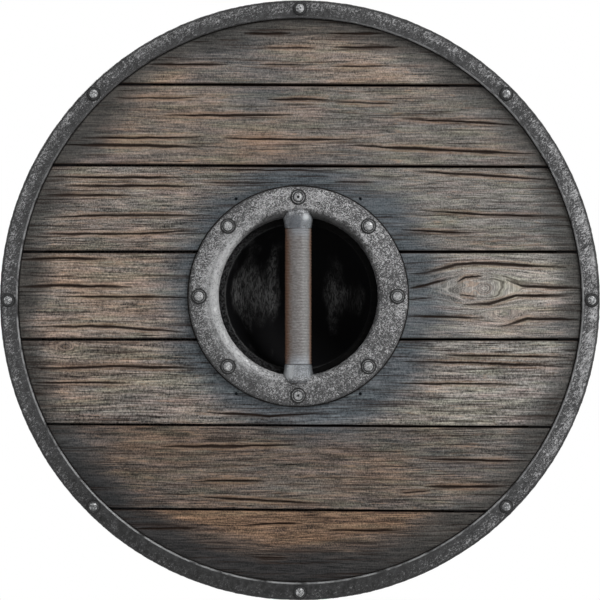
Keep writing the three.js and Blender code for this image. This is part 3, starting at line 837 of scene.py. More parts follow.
@dataclass(frozen=True)
class EdgingIron(BrushedIron):
    """The edging's iron: a painted highlight on its bead, paler on its outer half, painted light towards the
    right and painted shade at its foot, and dark in its rounded outer corners.
    """

    layout: Layout = field(default_factory=Layout)
    bead_end: float = 283.7 * MM
    outer_start: float = 285 * MM
    outer_full: float = 294 * MM
    corner_start: float = 295.8 * MM
    corner_full: float = 298 * MM
    corner_depth: float = 4.5 * MM
    # Directions round the edging: painted shade towards the foot, painted light towards the right, and the bead
    # left without its painted highlight at the top.
    painted_shade_towards: Triple = (-0.26, 0, -0.97)
    painted_light_towards: Triple = (1.0, 0, -0.02)
    unlit_towards: Triple = (-0.42, 0, 0.91)
    near_face: float = 1.5 * MM

    def stroked(self, sheet: Sheet, place: object) -> object:
        """Draws the flecks out along one diagonal."""
        x, y, z = sheet.split(place)
        return sheet.combine(sheet.total((x, 0.45), (z, 0.45)), y, sheet.total((x, -0.85), (z, 0.85)))

    def towards(self, sheet: Sheet, place: object, direction: Triple,
                start: float) -> Socket:
        """1 where the edging lies in a direction from the disc's centre, fading to 0 away from it."""
        return sheet.rise(sheet.facing(place, self.layout.disc_centre, direction), start, 1.0)

    def bead_highlight(self, sheet: Sheet, place: object) -> Socket:
        """Where the bead gets its painted highlight: 1 on the rolled bead along the edging's inner edge, but
        not at the top.
        """
        reach = sheet.reach(place, self.layout.disc_centre)
        band = sheet.rise(reach, self.bead_end, self.bead_end - 1.1 * MM)
        top = self.towards(sheet, place, self.unlit_towards, 0.5)
        return sheet.times(band, sheet.total((top, -0.9), (1.0, 1.0)))

    def caught(self, sheet: Sheet, place: object) -> object:
        """More on the outer half, more towards the right as painted light, and less at the foot as painted
        shade.
        """
        reach = sheet.reach(place, self.layout.disc_centre)
        outer = sheet.rise(reach, self.outer_start, self.outer_full)
        dark = self.towards(sheet, place, self.painted_shade_towards, 0.3)
        pale = self.towards(sheet, place, self.painted_light_towards, 0.75)
        return sheet.total((outer, 0.4), (dark, -0.2), (pale, 0.3), (1.0, self.amount))

    def weathered(self, sheet: Sheet, place: object, colour: object) -> object:
        """A painted highlight along the bead, painted shade at the foot, and darkening in the rounded outer
        corners but not between them.
        """
        dark = self.towards(sheet, place, self.painted_shade_towards, 0.5)
        pale = self.towards(sheet, place, self.painted_light_towards, 0.75)
        mottle = sheet.noise(place, 210, detail=3, roughness=0.7)
        top = self.towards(sheet, place, self.unlit_towards, 0.5)
        # Painted light and shade: darker towards the foot, lighter towards the right, a little darker at the
        # top.
        level = sheet.total((dark, -0.58), (pale, 0.2), (top, -0.06), (mottle, 2.0), (1.0, -0.18))
        colour = sheet.dimmed(colour, level)
        uneven = sheet.noise(place, 70, detail=3, roughness=0.6)
        # A painted highlight along the bead, broken up unevenly.
        worn = sheet.times(self.bead_highlight(sheet, place), sheet.rise(uneven, 0.3, 0.55))
        colour = sheet.blend(sheet.times(worn, 0.75), colour, tone(164, 165, 166))
        box = self.layout.edging
        reach = sheet.reach(place, self.layout.disc_centre)
        _, y, _ = sheet.split(place)
        from_middle = sheet.math("ABSOLUTE", sheet.math("SUBTRACT", y, box.middle.y))
        inner = box.size.y / 2 - self.corner_depth
        on_face = sheet.rise(from_middle, inner - self.near_face, inner)
        corner = sheet.times(sheet.rise(reach, self.corner_start, self.corner_full), on_face)
        return sheet.blend(sheet.times(corner, 0.9), colour, tone(17, 17, 18))


@dataclass(frozen=True)
class RingIron(BrushedIron):
    """The ring's iron: its rolled lip has a painted highlight at the lower left and painted shade at the upper
    right.
    """

    lip_clear: float = 99 * MM
    lip_full: float = 84 * MM
    # Where the painted shade on the lip starts and is full, and how much further it reaches on the upper side.
    dark_start: float = 84 * MM
    dark_full: float = 77 * MM
    dark_spread: float = 7 * MM
    shade_width: float = 36 * MM
    # The side the light comes from: the face is painted lighter there and the lip, facing away, gets painted
    # shade.
    painted_shade_towards: Triple = (0.2, 0.0, 0.98)
    smooth_start: float = 103.5 * MM
    smooth_full: float = 108.5 * MM
    # The colour of the painted sheen on the lip, and the side it lies towards.
    sheen_highlight: Colour = tone(182, 183, 184)
    sheen_towards: Triple = (-0.99, 0.0, -0.14)

    def aside(self, sheet: Sheet, place: object, towards: Triple) -> Socket:
        """1 on the ring's side that lies in a direction and 0 opposite."""
        return sheet.total((sheet.facing(place, Vector(), towards), 0.5), (1.0, 0.5))

    def caught(self, sheet: Sheet, place: object) -> object:
        """More on the lip towards the painted sheen and on the lit upper side, less along the outer edge."""
        reach = sheet.reach(place, Vector())
        lip = sheet.rise(reach, self.lip_clear, self.lip_full)
        aside = self.aside(sheet, place, self.sheen_towards)
        more = sheet.times(lip, sheet.total((aside, 0.6), (1.0, -0.05)))
        less = sheet.rise(reach, self.smooth_start, self.smooth_full)
        above = self.aside(sheet, place, self.painted_shade_towards)
        return sheet.total((more, 1.0), (less, -0.2), (above, 0.2), (1.0, self.amount - 0.1))

    def weathered(self, sheet: Sheet, place: object, colour: object) -> object:
        """A painted sheen on the lip on one side, painted shade that runs into the opening on the other, and
        painted light and shade on the face.
        """
        reach = sheet.reach(place, Vector())
        aside = self.aside(sheet, place, self.sheen_towards)
        above = self.aside(sheet, place, self.painted_shade_towards)
        uneven = sheet.noise(place, self.scale, detail=3, roughness=0.7)
        edge = sheet.rise(reach, self.lip_full, self.smooth_full)
        # Painted light and shade: the face's outer part lighter on the right, darker on the left.
        level = sheet.math("MULTIPLY_ADD", edge, sheet.total((aside, -0.42), (1.0, 0.3)), 1.0)
        x, _, z = sheet.split(place)
        # Painted shade round the top screw, and the upper side painted lighter.
        screw = sheet.rise(sheet.math("ABSOLUTE", x), self.shade_width, self.shade_width / 3)
        screw = sheet.times(screw, sheet.rise(z, 0.0, self.dark_full))
        shade = sheet.total((above, 0.16), (screw, -0.14), (1.0, 0.92))
        colour = sheet.dimmed(colour, sheet.times(level, shade))
        # A painted highlight: a broken sheen on the lip towards the lower left.
        lip = sheet.rise(reach, self.lip_clear, self.lip_full)
        worn = sheet.noise(place, self.scale * 1.6, detail=2, roughness=0.7)
        sheen = sheet.rise(sheet.total((aside, 1.0), (uneven, 1.0), (worn, 1.6)), 1.8, 2.55)
        colour = sheet.blend(sheet.times(lip, sheen, 0.85), colour, self.sheen_highlight)
        # Painted shade: the lip darkens into the opening at the top and the right.
        spread = sheet.rise(above, 0.7, 1.0)
        ragged = sheet.total((reach, 1.0), (uneven, 10 * MM), (spread, -self.dark_spread), (1.0, -5 * MM))
        inward = sheet.rise(ragged, self.dark_start, self.dark_full)
        sides = sheet.math("MAXIMUM", sheet.rise(above, 0.35, 0.95), sheet.total((aside, -0.4), (1.0, 0.4)))
        return sheet.blend(sheet.times(inward, sides, 0.92), colour, tone(12, 12, 13))


@dataclass(frozen=True)
class CollarIron(BrushedIron):
    """The collars' iron: silvery, with a painted highlight at one side and painted shade down both flanks and
    on the upper collar's left.
    """

    # Where the painted shade down the flanks starts and is full across, and how it draws outwards along the
    # collar past a height.
    flank: float = 11.8 * MM
    flank_full: float = 17 * MM
    flank_slope: float = 0.25
    flank_from: float = 78 * MM
    # Where the painted highlight spot sits on the upper collar.
    highlight_spot: Triple = (7.5 * MM, 0.0, 79 * MM)
    silver: Colour = tone(140, 145, 150)
    # The colour of the painted highlights, and of the painted shade on the upper collar.
    highlight_tone: Colour = tone(206, 210, 213)
    dull: Colour = tone(74, 78, 85)

    def weathered(self, sheet: Sheet, place: object, colour: object) -> object:
        """Silver patches on both collars, painted shade on the upper collar's left, painted light on the lower
        one's left, a painted highlight spot, and painted shade down both flanks.
        """
        x, _, z = sheet.split(place)
        along = sheet.math("ABSOLUTE", z)
        patchy = sheet.noise(place, self.scale * 0.45, detail=3, roughness=0.65)
        silvered = sheet.times(sheet.rise(along, 84 * MM, 76 * MM), sheet.rise(patchy, 0.2, 0.55))
        colour = sheet.blend(sheet.times(silvered, 0.6), colour, self.silver)
        # Painted shade on the left of the upper collar.
        upper = sheet.rise(z, 0.0, 1 * MM)
        left = sheet.times(sheet.rise(x, 4.6 * MM, 0.8 * MM), sheet.rise(x, -11 * MM, -7 * MM),
                           sheet.rise(along, 84 * MM, 78 * MM))
        colour = sheet.blend(sheet.times(upper, left, 0.72), colour, self.dull)
        # Painted light on the left of the lower collar.
        lower = sheet.times(sheet.rise(z, 0.0, -1 * MM), sheet.rise(along, 85 * MM, 79 * MM))
        lit = sheet.times(lower, sheet.times(sheet.rise(x, -1 * MM, -9 * MM), 0.55))
        colour = sheet.blend(lit, colour, self.highlight_tone)
        # A painted highlight spot on the upper collar's right.
        off = sheet.vectors("DISTANCE", sheet.combine(x, 0.0, z), self.highlight_spot).outputs["Value"]
        highlight_spot = sheet.rise(sheet.total((off, 1.0), (patchy, 3 * MM)), 6.5 * MM, 2.5 * MM)
        colour = sheet.blend(sheet.times(highlight_spot, 0.85), colour, self.highlight_tone)
        # Painted shade down both flanks.
        off_axis = sheet.total((sheet.math("ABSOLUTE", x), 1.0), (along, -self.flank_slope),
                               (1.0, self.flank_slope * self.flank_from))
        flank = sheet.rise(off_axis, self.flank, self.flank_full)
        return sheet.blend(sheet.times(flank, 0.85), colour, tone(24, 23, 23))


@dataclass(frozen=True)
class BlackWithHighlights:
    """Flat black foam with pale upright streaks painted as highlights, painted light grey along its open edge
    on the left, and a thin painted highlight line at that edge.
    """

    name: str
    edge_radius: float
    base: Colour = tone(13, 13, 14)
    # The colours of the painted highlights, the painted light along the edge and the painted highlight line.
    highlight_grey: Colour = tone(124, 124, 124)
    painted_light_grey: Colour = tone(70, 71, 71)
    line: Colour = tone(96, 97, 97)

    def material(self) -> Material:
        """Builds the material."""
        material, sheet, skin = new_material(self.name)
        place = sheet.place()
        x, _, z = sheet.split(place)
        marks = sheet.noise(place, (420, 420, 130), detail=4, roughness=0.75, distortion=0.8)
        areas = sheet.noise(place, (34, 34, 14), detail=2)
        faded = sheet.total((sheet.math("ABSOLUTE", sheet.math("ADD", z, -4 * MM)), -5.5), (areas, 1.0))
        # Painted highlights: pale upright streaks down the bowl's left and, fainter, its right, broken up like
        # scuffs.
        where: object = 0.0
        for middle, narrow, extra in ((-49 * MM, 14.0, 0.22), (-26 * MM, 22.0, 0.15), (40 * MM, 12.0, 0.06)):
            off = sheet.math("ABSOLUTE", sheet.math("SUBTRACT", x, middle))
            where = sheet.math("MAXIMUM", where, sheet.total((off, -narrow), (faded, 1.0), (1.0, extra)))
        soft = sheet.total((sheet.rise(marks, 0.4, 0.66), 0.92), (1.0, 0.08))
        amount = sheet.times(soft, sheet.rise(where, 0.31, 0.7))
        colour = sheet.blend(sheet.times(amount, 0.8), self.base, self.highlight_grey)
        reach = sheet.reach(place, Vector())
        # Painted light: a grey band along the open edge on the left, which faces the light.
        leftward = sheet.rise(sheet.total((x, 1.0), (z, 0.3)), 30 * MM, -50 * MM)
        painted_light = sheet.times(sheet.rise(reach, self.edge_radius - 1 * MM, self.edge_radius + 3 * MM),
                              sheet.rise(marks, 0.3, 0.7), sheet.total((leftward, 1.0), (1.0, 0.02)))
        colour = sheet.blend(painted_light, colour, self.painted_light_grey)
        # A thin broken painted highlight line along the open edge, mostly on the left.
        off = sheet.math("ABSOLUTE", sheet.math("SUBTRACT", reach, self.edge_radius))
        highlight_dashes = sheet.times(sheet.rise(off, 0.7 * MM, 0.2 * MM), sheet.rise(marks, 0.46, 0.58),
                             sheet.total((leftward, 0.75), (1.0, 0.1)))
        colour = sheet.blend(highlight_dashes, colour, self.line)
        coat(sheet, skin, colour, (marks, 0.25, 0.6), bump(sheet, marks, 0.3 * MM), gloss=0.03)
        return material


@dataclass(frozen=True)
class RibbedLeather:
    """A brown ribbed sleeve whose hand-side face is dry-brushed grey, with a painted highlight down its right
    and painted shade down both flanks.
    """

    name: str
    pitch: float
    radius: float
    half_length: float
    brown: Colour = tone(106, 77, 58)
    grey: Colour = tone(100, 96, 95)
    pale: Colour = tone(112, 111, 110)
    silver: Colour = tone(138, 142, 147)
    dark: Colour = tone(26, 18, 14)

    def material(self) -> Material:
        """Builds the material."""
        material, sheet, skin = new_material(self.name)
        place = sheet.place()
        x, y, z = sheet.split(place)
        grainy = sheet.noise(place, (340, 340, 900), detail=3, roughness=0.75)
        blotches = sheet.noise(place, (90, 90, 45), detail=2)
        wave = sheet.math("SINE", sheet.times(z, FULL_TURN / self.pitch))
        crown = sheet.total((wave, 0.2), (1.0, 0.55))
        side = sheet.math("DIVIDE", x, self.radius)
        rough_side = sheet.total((side, 1.0), (blotches, 0.2), (grainy, 0.25), (1.0, -0.22))
        from_left = sheet.rise(rough_side, -0.98, -0.28)
        from_right = sheet.rise(rough_side, 1.0, 0.6)
        brushed = sheet.times(from_left, from_right, sheet.rise(y, 4 * MM, -2 * MM))
        colour = sheet.blend(brushed, self.brown, self.grey)
        # Painted highlight down the right of the hand-side face.
        ridge = sheet.times(sheet.rise(rough_side, 0.16, 0.42), brushed)
        colour = sheet.blend(ridge, colour, self.pale)
        caught = sheet.rise(sheet.total((grainy, 1.0), (crown, 0.15)), 0.5, 0.74)
        colour = sheet.blend(sheet.times(caught, brushed, 0.6), colour, sheet.dimmed(self.pale, 1.35))
        end = sheet.total((sheet.math("ABSOLUTE", z), 1.0), (blotches, 14 * MM), (1.0, -7 * MM))
        silvered = sheet.rise(end, self.half_length - 14 * MM, self.half_length - 1 * MM)
        shine = sheet.blend(sheet.rise(z, -20 * MM, 20 * MM), self.silver, sheet.dimmed(self.silver, 0.72))
        colour = sheet.blend(sheet.times(silvered, brushed, 0.8), colour, shine)
        # Painted shade down both flanks, where the round sleeve turns from the light.
        flank = sheet.rise(sheet.math("ABSOLUTE", side), 0.86, 1.02)
        colour = sheet.blend(sheet.times(flank, 0.7), colour, self.dark)
        groove = sheet.total((crown, -0.8), (grainy, -3.0), (1.0, 2.05))
        colour = sheet.blend(sheet.math("MULTIPLY", groove, 0.5, clamp=True), colour, self.dark)
        coat(sheet, skin, colour, (grainy, -0.2, 0.65), bump(sheet, grainy, 0.3 * MM, 0.7), gloss=0.35)
        return material


@dataclass(frozen=True)
class ShadeBlackPly:
    """Plywood painted black as shade, so that the seams and the hand opening look deep; its layers show at the
    edges, and painted light greys its left side.
    """

    name: str
    shade_black: Colour = tone(8, 8, 8)
    worn: Colour = tone(19, 18, 17)
    painted_light_grey: Colour = tone(58, 58, 59)
    layer: float = 1.5 * MM

    def material(self) -> Material:
        """Builds the material."""
        material, sheet, skin = new_material(self.name)
        place = sheet.place()
        x, y, z = sheet.split(place)
        grain = sheet.noise(place, (12, 60, 420), detail=3, roughness=0.6)
        bands = sheet.rise(sheet.math("PINGPONG", y, self.layer), self.layer * 0.35, self.layer * 0.65)
        shown = sheet.times(sheet.rise(grain, 0.45, 0.75), sheet.total((bands, 0.5), (1.0, 0.5)))
        # Painted light: a grey mist on the left, where the opening's wall faces the light.
        mist = sheet.noise(place, 520, detail=2, roughness=0.7)
        leftward = sheet.rise(sheet.total((x, 1.0), (z, 0.3)), 10 * MM, -70 * MM)
        painted_light = sheet.times(sheet.rise(mist, 0.38, 0.66), leftward)
        colour = sheet.blend(painted_light, sheet.blend(shown, self.shade_black, self.worn), self.painted_light_grey)
        coat(sheet, skin, colour, (grain, 0.2, 0.7), bump(sheet, grain, 0.2 * MM), gloss=0.03)
        return material


@dataclass(frozen=True)
class CellFoam:
    """Closed-cell foam, dark and finely pitted."""

    name: str
    base: Colour = tone(32, 32, 34)
    cell: Colour = tone(58, 58, 60)
    cells_per_metre: float = 1500.0

    def material(self) -> Material:
        """Builds the material."""
        material, sheet, skin = new_material(self.name)
        cells = sheet.node("ShaderNodeTexVoronoi", {"Vector": sheet.place(), "Scale": self.cells_per_metre})
        wall = sheet.rise(cells.outputs["Distance"], 0.1, 0.7)
        colour = sheet.blend(wall, self.base, self.cell)
        coat(sheet, skin, colour, (wall, 0.1, 0.85), bump(sheet, wall, 0.2 * MM))
        return material


@dataclass(frozen=True)
class OiledWood:
    """Straight-grained hardwood with a dull oil finish."""

    name: str
    light: Colour = tone(150, 112, 76)
    dark: Colour = tone(86, 58, 38)

    def material(self) -> Material:
        """Builds the material."""
        material, sheet, skin = new_material(self.name)
        grain = sheet.noise(sheet.place(), (520, 520, 18), detail=3, roughness=0.6, distortion=0.3)
        colour = sheet.blend(sheet.rise(grain, 0.35, 0.65), self.dark, self.light)
        coat(sheet, skin, colour, (grain, 0.2, 0.45), bump(sheet, grain, 0.15 * MM))
        return material


# Planks


class CrackSize(Enum):
    """A crack's half width and depth, in millimetres."""

    BOLD = (1.45, 2.8)
    PLAIN = (1.1, 2.4)
    FINE = (0.7, 1.5)


@dataclass(frozen=True)
class Crack:
    """An open crack in a plank.

    Each point of its course has its place across the disc, in shares of the disc's radius from its centre,
    and its height in the plank, in shares of the plank's height.
    """

    course: tuple[Point, ...]
    size: CrackSize = CrackSize.PLAIN


@dataclass(frozen=True)
class Knot:
    """A knot that the grain flows round, in millimetres; stretch is how much longer than tall it is."""

    x: float
    z: float
    radius: float
    stretch: float


BOLD = CrackSize.BOLD
FINE = CrackSize.FINE
HAND_CRACKS = {
    1: (
        Crack(((-0.19, 0.63), (-0.03, 0.63)), BOLD), Crack(((0.09, 0.63), (0.28, 0.64))),
        Crack(((-0.5, 0.24), (-0.24, 0.24))), Crack(((0.11, 0.46), (0.33, 0.46))),
        Crack(((-0.13, 0.45), (0.06, 0.45)), FINE), Crack(((-0.14, 0.24), (0.01, 0.24)), FINE),
        Crack(((0.1, 0.22), (0.29, 0.22)), FINE),
    ),
    2: (
        Crack(((-0.11, 0.83), (0.1, 0.83))), Crack(((-0.46, 0.62), (-0.02, 0.63))),
        Crack(((0.33, 0.59), (0.53, 0.56), (0.73, 0.51))), Crack(((-0.73, 0.33), (-0.33, 0.34))),
        Crack(((-0.26, 0.33), (0.18, 0.32))), Crack(((-0.79, 0.24), (-0.52, 0.24), (-0.33, 0.22)), BOLD),
        Crack(((0.16, 0.25), (0.33, 0.22), (0.53, 0.19), (0.79, 0.15)), BOLD),
        Crack(((-0.63, 0.84), (-0.33, 0.84)), FINE), Crack(((0.11, 0.8), (0.33, 0.78)), FINE),
    ),
    3: (
        Crack(((0.37, 0.96), (0.6, 0.91), (0.84, 0.86))), Crack(((-0.85, 0.87), (-0.39, 0.87)), BOLD),
        Crack(((-0.79, 0.77), (-0.33, 0.77)), BOLD), Crack(((-0.85, 0.66), (-0.56, 0.66))),
        Crack(((0.39, 0.49), (0.63, 0.43), (0.89, 0.42))),
        Crack(((-0.86, 0.39), (-0.63, 0.42), (-0.33, 0.42))), Crack(((0.33, 0.25), (0.57, 0.21))),
        Crack(((-0.87, 0.2), (-0.53, 0.2), (-0.34, 0.24))), Crack(((-0.34, 0.96), (0.14, 0.96)), FINE),
        Crack(((-0.34, 0.81), (-0.08, 0.81)), FINE), Crack(((0.11, 0.82), (0.25, 0.82)), FINE),
    ),
    4: (
        Crack(((-0.94, 0.92), (-0.8, 0.94), (-0.64, 0.93)), BOLD),
        Crack(((-0.94, 0.6), (-0.82, 0.62), (-0.56, 0.6)), BOLD), Crack(((-0.82, 0.49), (-0.37, 0.48))),
        Crack(((-0.89, 0.14), (-0.63, 0.14), (-0.37, 0.07))),
        Crack(((0.36, 0.75), (0.42, 0.76), (0.52, 0.86), (0.58, 0.88), (0.72, 0.86), (0.89, 0.83)), BOLD),
        Crack(((0.36, 0.58), (0.42, 0.62), (0.49, 0.69)), BOLD),
        Crack(((0.52, 0.65), (0.55, 0.71), (0.61, 0.73))),
        Crack(((0.68, 0.7), (0.74, 0.61), (0.94, 0.58)), BOLD),
        Crack(((0.54, 0.39), (0.63, 0.4), (0.72, 0.5), (0.91, 0.5)), BOLD),
        Crack(((0.35, 0.26), (0.62, 0.24))),
        Crack(((0.66, 0.13), (0.7, 0.16), (0.76, 0.23), (0.93, 0.22)), BOLD),
        Crack(((0.53, 0.51), (0.59, 0.49)), FINE), Crack(((0.36, 0.45), (0.45, 0.48)), FINE),
    ),
    5: (
        Crack(((0.46, 0.83), (0.91, 0.8))), Crack(((0.33, 0.75), (0.57, 0.74), (0.89, 0.69))),
        Crack(((-0.91, 0.67), (-0.8, 0.66), (-0.63, 0.69), (-0.33, 0.67)), BOLD),
        Crack(((0.33, 0.49), (0.73, 0.49))), Crack(((-0.89, 0.49), (-0.56, 0.49))),
        Crack(((-0.32, 0.14), (-0.1, 0.1), (0.07, 0.13))),
    ),
    6: (
        Crack(((-0.47, 0.75), (-0.33, 0.75), (-0.01, 0.78)), BOLD), Crack(((0.39, 0.62), (0.76, 0.6))),
        Crack(((-0.34, 0.33), (-0.12, 0.34))), Crack(((0.41, 0.28), (0.69, 0.29)), BOLD),
        Crack(((-0.34, 0.14), (0.07, 0.07))), Crack(((0.33, 0.2), (0.44, 0.23)), FINE),
    ),
    7: (
        Crack(((-0.18, 0.84), (0.01, 0.86))), Crack(((-0.56, 0.78), (-0.33, 0.8))),
        Crack(((0.09, 0.78), (0.34, 0.78))), Crack(((-0.16, 0.46), (-0.04, 0.45)), FINE),
    ),
}
HAND_KNOTS = (Knot(183, 8, 13, 2.6), Knot(206, -18, 4.5, 3.4), Knot(-232, -50, 5, 1.7))
FRONT_KNOTS = (Knot(-150, 92, 9, 2.2), Knot(70, -165, 7, 2.4), Knot(215, 30, 6, 2))
# Square millimetres of plank to each short split, where the paint has a contrast of 1.
FISSURE_AREA = 420.0


@dataclass(frozen=True)
class Spread:
    """Values spread between two limits by multiples of a step that never fall into line."""

    least: float
    most: float
    step: float

    def at(self, index: int) -> float:
        """The value of that order."""
        return self.least + (self.most - self.least) * (index * self.step % 1)


@dataclass(frozen=True)
class FrontCracks:
    """The front face's cracks, spread by formula; places in the same shares as a crack's course."""

    planks: int = 7
    per_plank: int = 6
    start: Spread = Spread(-0.95, 0.35, 0.755)
    length: Spread = Spread(0.22, 0.6, 0.57)
    height: Spread = Spread(0.1, 0.9, 0.618)
    climb: Spread = Spread(-0.03, 0.03, 0.382)

    def by_plank(self) -> dict[int, tuple[Crack, ...]]:
        """Each plank's cracks, by its number."""
        return {number: tuple(self.crack(number * self.per_plank + order) for order in range(self.per_plank))
                for number in range(1, self.planks + 1)}

    def crack(self, index: int) -> Crack:
        """The crack of that order."""
        start = self.start.at(index)
        height = self.height.at(index)
        return Crack(((start, height), (start + self.length.at(index), height + self.climb.at(index))))


@dataclass(frozen=True)
class PlankPaint:
    """How light, how warm and how contrasty a plank is painted at its left and right ends."""

    light: Point = (1.0, 1.0)
    warm: Point = (0.5, 0.5)
    contrast: Point = (1.0, 1.0)


@dataclass(frozen=True)
class Plank:
    """One plank of a layer: its number from the top and, if the hand opening cuts it, the side it lies on."""

    number: int
    suffix: str = ""
    across: int = 0


@dataclass
class PlankLayer:
    """One face of planks, each a closed body with a carved and cracked outer face."""

    layout: Layout
    side: Side
    slot: str
    cracks: dict[int, tuple[Crack, ...]]
    knots: tuple[Knot, ...]
    paints: tuple[PlankPaint, ...]
    seed: int
    step_along: float = 1.4 * MM
    step_up: float = 0.7 * MM
    seam_gap: float = 2.2 * MM
    outer_seams: tuple[Point, Point] = ((0.708, 0.7), (0.705, 0.72))
    ring_seams: tuple[Point, Point] = ((0.113, 0.1), (0.092, 0.111))
    opening_seams: tuple[Point, Point] = ((0.562, 0.562), (0.547, 0.547))
    opening_radius: float = 79 * MM
    pin_radius: float = 1.5 * MM
    pin_depth: float = 5 * MM
    pin_offset: float = 5.5 * MM
    pin_angle: float = math.radians(57.5)
    edge_share: float = 0.9995
    fitting_rounds: int = 8
    smooth_degrees: float = 70
    planks: tuple[Plank, ...] = (
        *map(Plank, (1, 2, 3)), Plank(4, "_left", -1), Plank(4, "_right", 1), *map(Plank, (5, 6, 7)),
    )

    def build(self) -> None:
        """Makes every plank and hands it over."""
        material = WeatheredWood(f"{self.slot} finish", self.layout).material()
        prefix = "hand_plank" if self.side is Side.HAND else "front_plank"
        for plank in self.planks:
            node = f"{prefix}_{plank.number}{plank.suffix}"
            piece = self.shaped(plank, node)
            if self.side is Side.HAND and plank.number in (3, 5):
                carve(piece, self.pins(1 if plank.number == 3 else -1))
            shade(piece, self.smooth_degrees)
            hand_over(piece, node, material)

    def seams(self) -> list[Point]:
        """Each seam's heights at the left and right of the disc, from the top down."""
        radius = self.layout.disc_radius
        ring = self.layout.ring_radius
        result = []
        for index, sign in ((0, 1), (1, -1)):
            heights = [
                tuple(sign * share * radius for share in self.outer_seams[index]),
                tuple(sign * (ring + share * (radius - ring)) for share in self.ring_seams[index]),
                tuple(sign * share * self.opening_radius for share in self.opening_seams[index]),
            ]
            result += heights if sign > 0 else heights[::-1]
        return result

    def long_edges(self, number: int, x: Numbers) -> tuple[Numbers, Numbers]:
        """The heights of a plank's two long edges at places across the disc, as if nothing cut it."""
        radius = self.layout.disc_radius
        share = (x - self.layout.disc_centre.x + radius) / (2 * radius)
        reach = self.edge_share * self.layout.board_radius
        seams = self.seams()
        middle = self.layout.disc_centre.z
        upper = np.full_like(x, middle + reach)
        lower = np.full_like(x, middle - reach)
        if number > 1:
            left, right = seams[number - 2]
            upper = left + (right - left) * share - self.seam_gap / 2
        if number <= len(seams):
            left, right = seams[number - 1]
            lower = left + (right - left) * share + self.seam_gap / 2
        return lower, upper

    def edges(self, plank: Plank, x: Numbers) -> tuple[Numbers, Numbers]:
        """The heights of a plank's lower and upper edges, with the hand opening cut out."""
        lower, upper = self.long_edges(plank.number, x)
        hole = np.sqrt(np.maximum(self.layout.hole_radius**2 - x**2, 0))
        if plank.number == 3:
            lower = np.maximum(lower, hole)
        if plank.number == 5:
            upper = np.minimum(upper, -hole)
        return lower, upper

    def ends(self, plank: Plank, z: Numbers) -> tuple[Numbers, Numbers]:
        """The places of a plank's left and right ends at given heights."""
        board = self.layout.board_radius
        centre = self.layout.disc_centre
        chord = np.sqrt(np.maximum(board**2 - (z - centre.z) ** 2, 0))
        hole = np.sqrt(np.maximum(self.layout.hole_radius**2 - z**2, 0))
        left = hole if plank.across > 0 else centre.x - chord
        right = -hole if plank.across < 0 else centre.x + chord
        return left, right

    def course(self, number: int, crack: Crack) -> Numbers:
        """A crack's course as rows of x and z, in millimetres."""
        shares = np.array(crack.course)
        x = self.layout.disc_centre.x + shares[:, 0] * self.layout.disc_radius
        lower, upper = self.long_edges(number, x)
        return np.column_stack((x, lower + (upper - lower) * shares[:, 1])) / MM

    def shaped(self, plank: Plank, node: str) -> Piece:
        """Makes one plank.

        Args:
            plank: Which plank.
            node: The node that it stands for.

        Returns:
            The plank, carved and closed.
        """
        box = Envelope.of(node)
        columns = math.ceil(box.size.x / self.step_along)
        rows = math.ceil(box.size.z / self.step_up)
        deselect_all()
        bpy.ops.mesh.primitive_grid_add(x_subdivisions=columns, y_subdivisions=rows, size=1)
        piece = bpy.context.object
        flat = corners(piece)
        across = flat[:, 0] + 0.5
        up = flat[:, 1] + 0.5
        if self.side is Side.FRONT:
            across = 1 - across
        x = np.zeros_like(across)
        z = np.zeros_like(across)
        for _ in range(self.fitting_rounds):
            lower, upper = self.edges(plank, x)
            z = lower + (upper - lower) * up
            left, right = self.ends(plank, z)
            x = left + (right - left) * across
        depth = self.painted(piece, plank, x, z)
        face, back = (box.low.y, box.high.y) if self.side is Side.HAND else (box.high.y, box.low.y)
        place_corners(piece, np.column_stack((x, face - self.side.value * depth, z)))
        self.close(piece, back)
        return piece

    def painted(self, piece: Piece, plank: Plank, x: Numbers, z: Numbers) -> Numbers:
        """Works out the relief and keeps what the paint needs on the mesh.

        Args:
            piece: The plank's mesh.
            plank: Which plank.
            x: Each vertex's place across the disc.
            z: Each vertex's height.

        Returns:
            How far each vertex lies below the plank's flat face.
        """
        seed = self.seed + 10 * plank.number + plank.across
        courses = [(self.course(plank.number, crack), crack.size) for crack in self.cracks[plank.number]]
        paint = self.paints[self.planks.index(plank)]
        carving = Carving(courses, self.knots, seed, FISSURE_AREA / paint.contrast[0] ** 2)
        lower, upper = self.edges(plank, x)
        depth, relief, crack, halo = carving.cut(x / MM, z / MM, (z - lower) / MM, (upper - z) / MM)
        share = np.clip((x - self.layout.disc_centre.x) / self.layout.disc_radius / 2 + 0.5, 0, 1)
        painted = [left + (right - left) * share for left, right in (paint.light, paint.warm, paint.contrast)]
        flowed = carving.flowed(x / MM, z / MM) * MM
        paint_values(piece, "grain", np.column_stack((x, np.full_like(x, seed * 0.37), flowed)))
        for name, values in (("relief", relief), ("crack", crack), ("halo", halo)):
            paint_values(piece, name, values)
        paint_values(piece, "paint", np.column_stack(painted))
        return depth * MM

    def close(self, piece: Piece, back: float) -> None:
        """Gives a carved face its thickness: its border is extruded to the back and filled."""
        with editing(piece):
            bpy.ops.mesh.select_mode(type="EDGE")
            bpy.ops.mesh.select_all(action="DESELECT")
            bpy.ops.mesh.select_non_manifold()
            bpy.ops.mesh.extrude_edges_move()
            bpy.ops.mesh.edge_face_add()
        polygon = max(piece.data.polygons, key=lambda face: len(face.vertices))
        for index in polygon.vertices:
            piece.data.vertices[index].co.y = back
        with editing(piece):
            bpy.ops.mesh.normals_make_consistent(inside=False)

